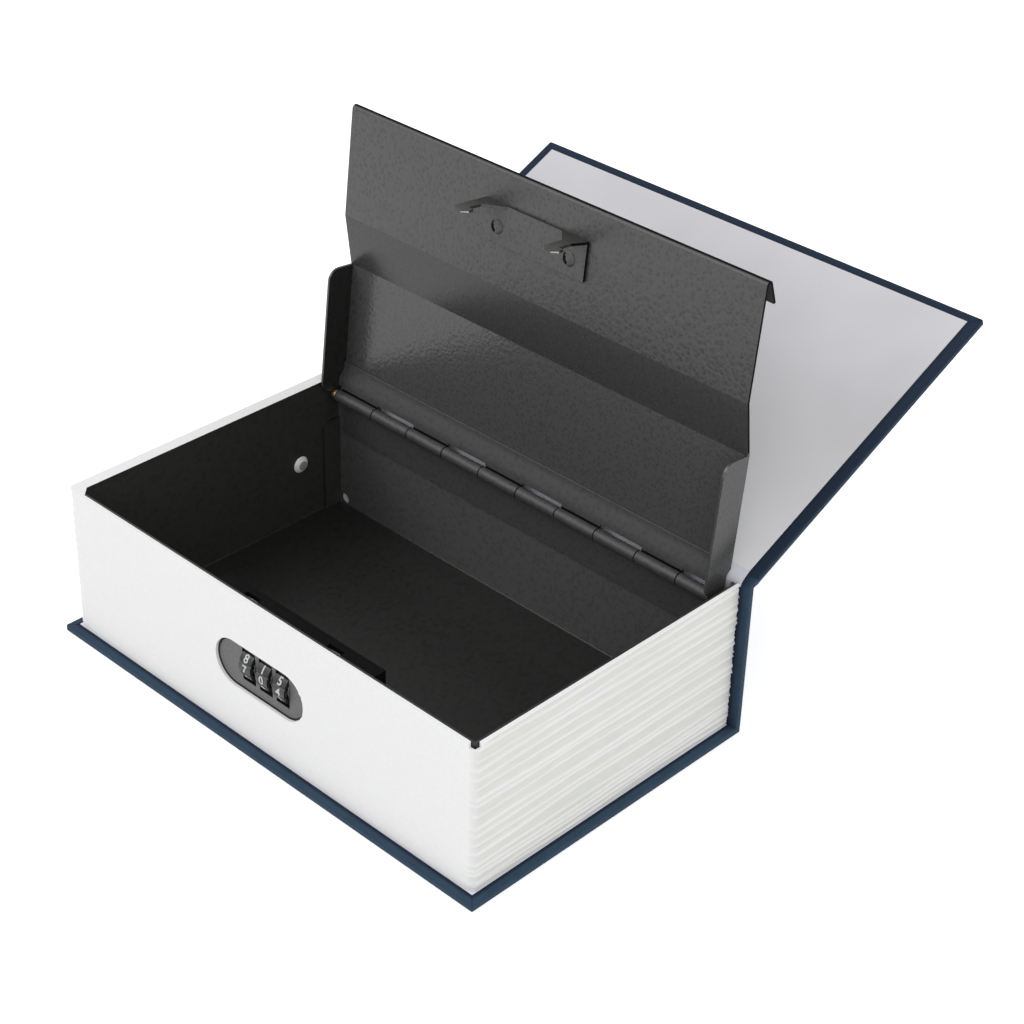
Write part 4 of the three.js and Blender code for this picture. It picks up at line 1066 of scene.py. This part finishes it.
darken(cloth_fold, fold_dark)
map_cloth(cloth_fold)
joint_cloth = keep_faces_flat(finished(cloth_fold, "joint_cloth_fold", book_cloth, 60))
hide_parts("joint_cloth")
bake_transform(joint_cloth)

# Paper joint: the end paper carried over the fold, from the spine's lining to the cover's paper.
# It narrows to the width of the cover's paper, and bends with the cloth.
near = [place + out * 0.1 * MM for place, out in fold]
far = [place + out * 0.3 * MM for place, out in fold]
near.append(on_cover(PAPER_LAP, PAPER_GLUED))
far.append(on_cover(PAPER_LAP, PAPER_FACE))
paper_fold = strip_along_x(near + far[::-1], BLOCK_SIDE)
for vert in paper_fold.verts:
    narrowed = min(1, max(0, (vert.co.y - near[0].y) / (near[-1].y - near[0].y)))
    vert.co.x *= 1 - (1 - PAPER_SIDE / BLOCK_SIDE) * narrowed
joint_paper = finished(paper_fold, "joint_paper_fold", paper, 60)
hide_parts("joint_paper")
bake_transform(joint_paper)

# Camera: at the photograph's angle, with its lens and framing. The numbers are from a fit to the
# corners and long edges of the book, the box and the lid.
AZIMUTH = radians(43.38)
ELEVATION = radians(32.70)
ROLL = radians(1.70)
back = Vector((sin(AZIMUTH) * cos(ELEVATION), -cos(AZIMUTH) * cos(ELEVATION), sin(ELEVATION)))
level = Vector((cos(AZIMUTH), sin(AZIMUTH), 0))
upward = back.cross(level)
right = level * cos(ROLL) + upward * sin(ROLL)
above = upward * cos(ROLL) - level * sin(ROLL)
AIM = Vector((0, -1.5, 40)) * MM
DISTANCE = 680.8 * MM
ASIDE = 34.4 * MM
RAISED = 19 * MM
FOCAL_LENGTH = 80.86
FRAME_SHIFT = (0.0029, 0.0009)
stand = AIM + back * DISTANCE + level * ASIDE + upward * RAISED
lens = bpy.data.cameras.new("camera")
lens.lens = FOCAL_LENGTH
lens.shift_x, lens.shift_y = FRAME_SHIFT
lens.clip_start = 0.01
lens.clip_end = 20
camera = bpy.data.objects.new("camera", lens)
bpy.context.scene.collection.objects.link(camera)
facing = Matrix((right, above, back)).transposed().to_4x4()
camera.matrix_world = Matrix.Translation(stand) @ facing
bpy.context.scene.camera = camera

# Floor and white surroundings: the camera sees white, and the floor keeps the book's shadow. Four
# soft lamps light the book from all sides.
floor_white = new_finish("white floor", shade(240, 240, 240), 0.9, specular=0.1)
floor_place = add_node(floor_white, "TexCoord", {}).outputs["Object"]
grain = blotches(floor_white, floor_place, 3 * MM, 3)
feed(floor_white, "Roughness", levels(floor_white, grain, 0.85, 0.95))


def seen_directly(finish):
    """1 for what the camera sees, straight or by a mirror or through glass, otherwise 0."""
    rays = add_node(finish, "LightPath", {}).outputs
    mirrored = calculate(finish, "MAXIMUM", rays["Is Camera Ray"], rays["Is Glossy Ray"])
    return calculate(finish, "MAXIMUM", mirrored, rays["Is Transmission Ray"])


FLOOR_LIFT = 0.55
WORLD_LIGHT = 0.55
LAMP_SIZE = 0.9
BOOK_MIDDLE = Vector((0, 0, 0.05))
floor_shader = floor_white.node_tree.nodes["Principled BSDF"]
floor_shader.inputs["Emission Color"].default_value = (1, 1, 1, 1)
lifted = calculate(floor_white, "MULTIPLY", seen_directly(floor_white), FLOOR_LIFT)
feed(floor_white, "Emission Strength", lifted)
ground = bmesh.new()
bmesh.ops.create_grid(ground, x_segments=4, y_segments=4, size=3)
floor = finished(ground, "floor", floor_white)

world = bpy.data.worlds.new("studio")
world.use_nodes = True
bpy.context.scene.world = world
sky = world.node_tree.nodes["Background"]
sky.inputs["Color"].default_value = (1, 1, 1, 1)
strength = levels(world, seen_directly(world), WORLD_LIGHT, 1)
world.node_tree.links.new(strength, sky.inputs["Strength"])


def soft_lamp(name, place, power):
    """A square studio lamp that looks at the book's middle."""
    light = bpy.data.lights.new(name, "AREA")
    light.size = LAMP_SIZE
    light.energy = power
    lamp = bpy.data.objects.new(name, light)
    bpy.context.scene.collection.objects.link(lamp)
    place = Vector(place)
    aim = (place - BOOK_MIDDLE).to_track_quat("Z", "Y")
    lamp.matrix_world = Matrix.Translation(place) @ aim.to_matrix().to_4x4()


soft_lamp("key lamp", (-0.7, -0.8, 1.0), 8)
soft_lamp("fill lamp", (0.9, -0.7, 0.7), 3.5)
soft_lamp("side lamp", (1.0, 0.6, 0.5), 3)
soft_lamp("back lamp", (0.1, 0.9, 1.1), 3)

bpy.context.scene.view_settings.view_transform = "Standard"
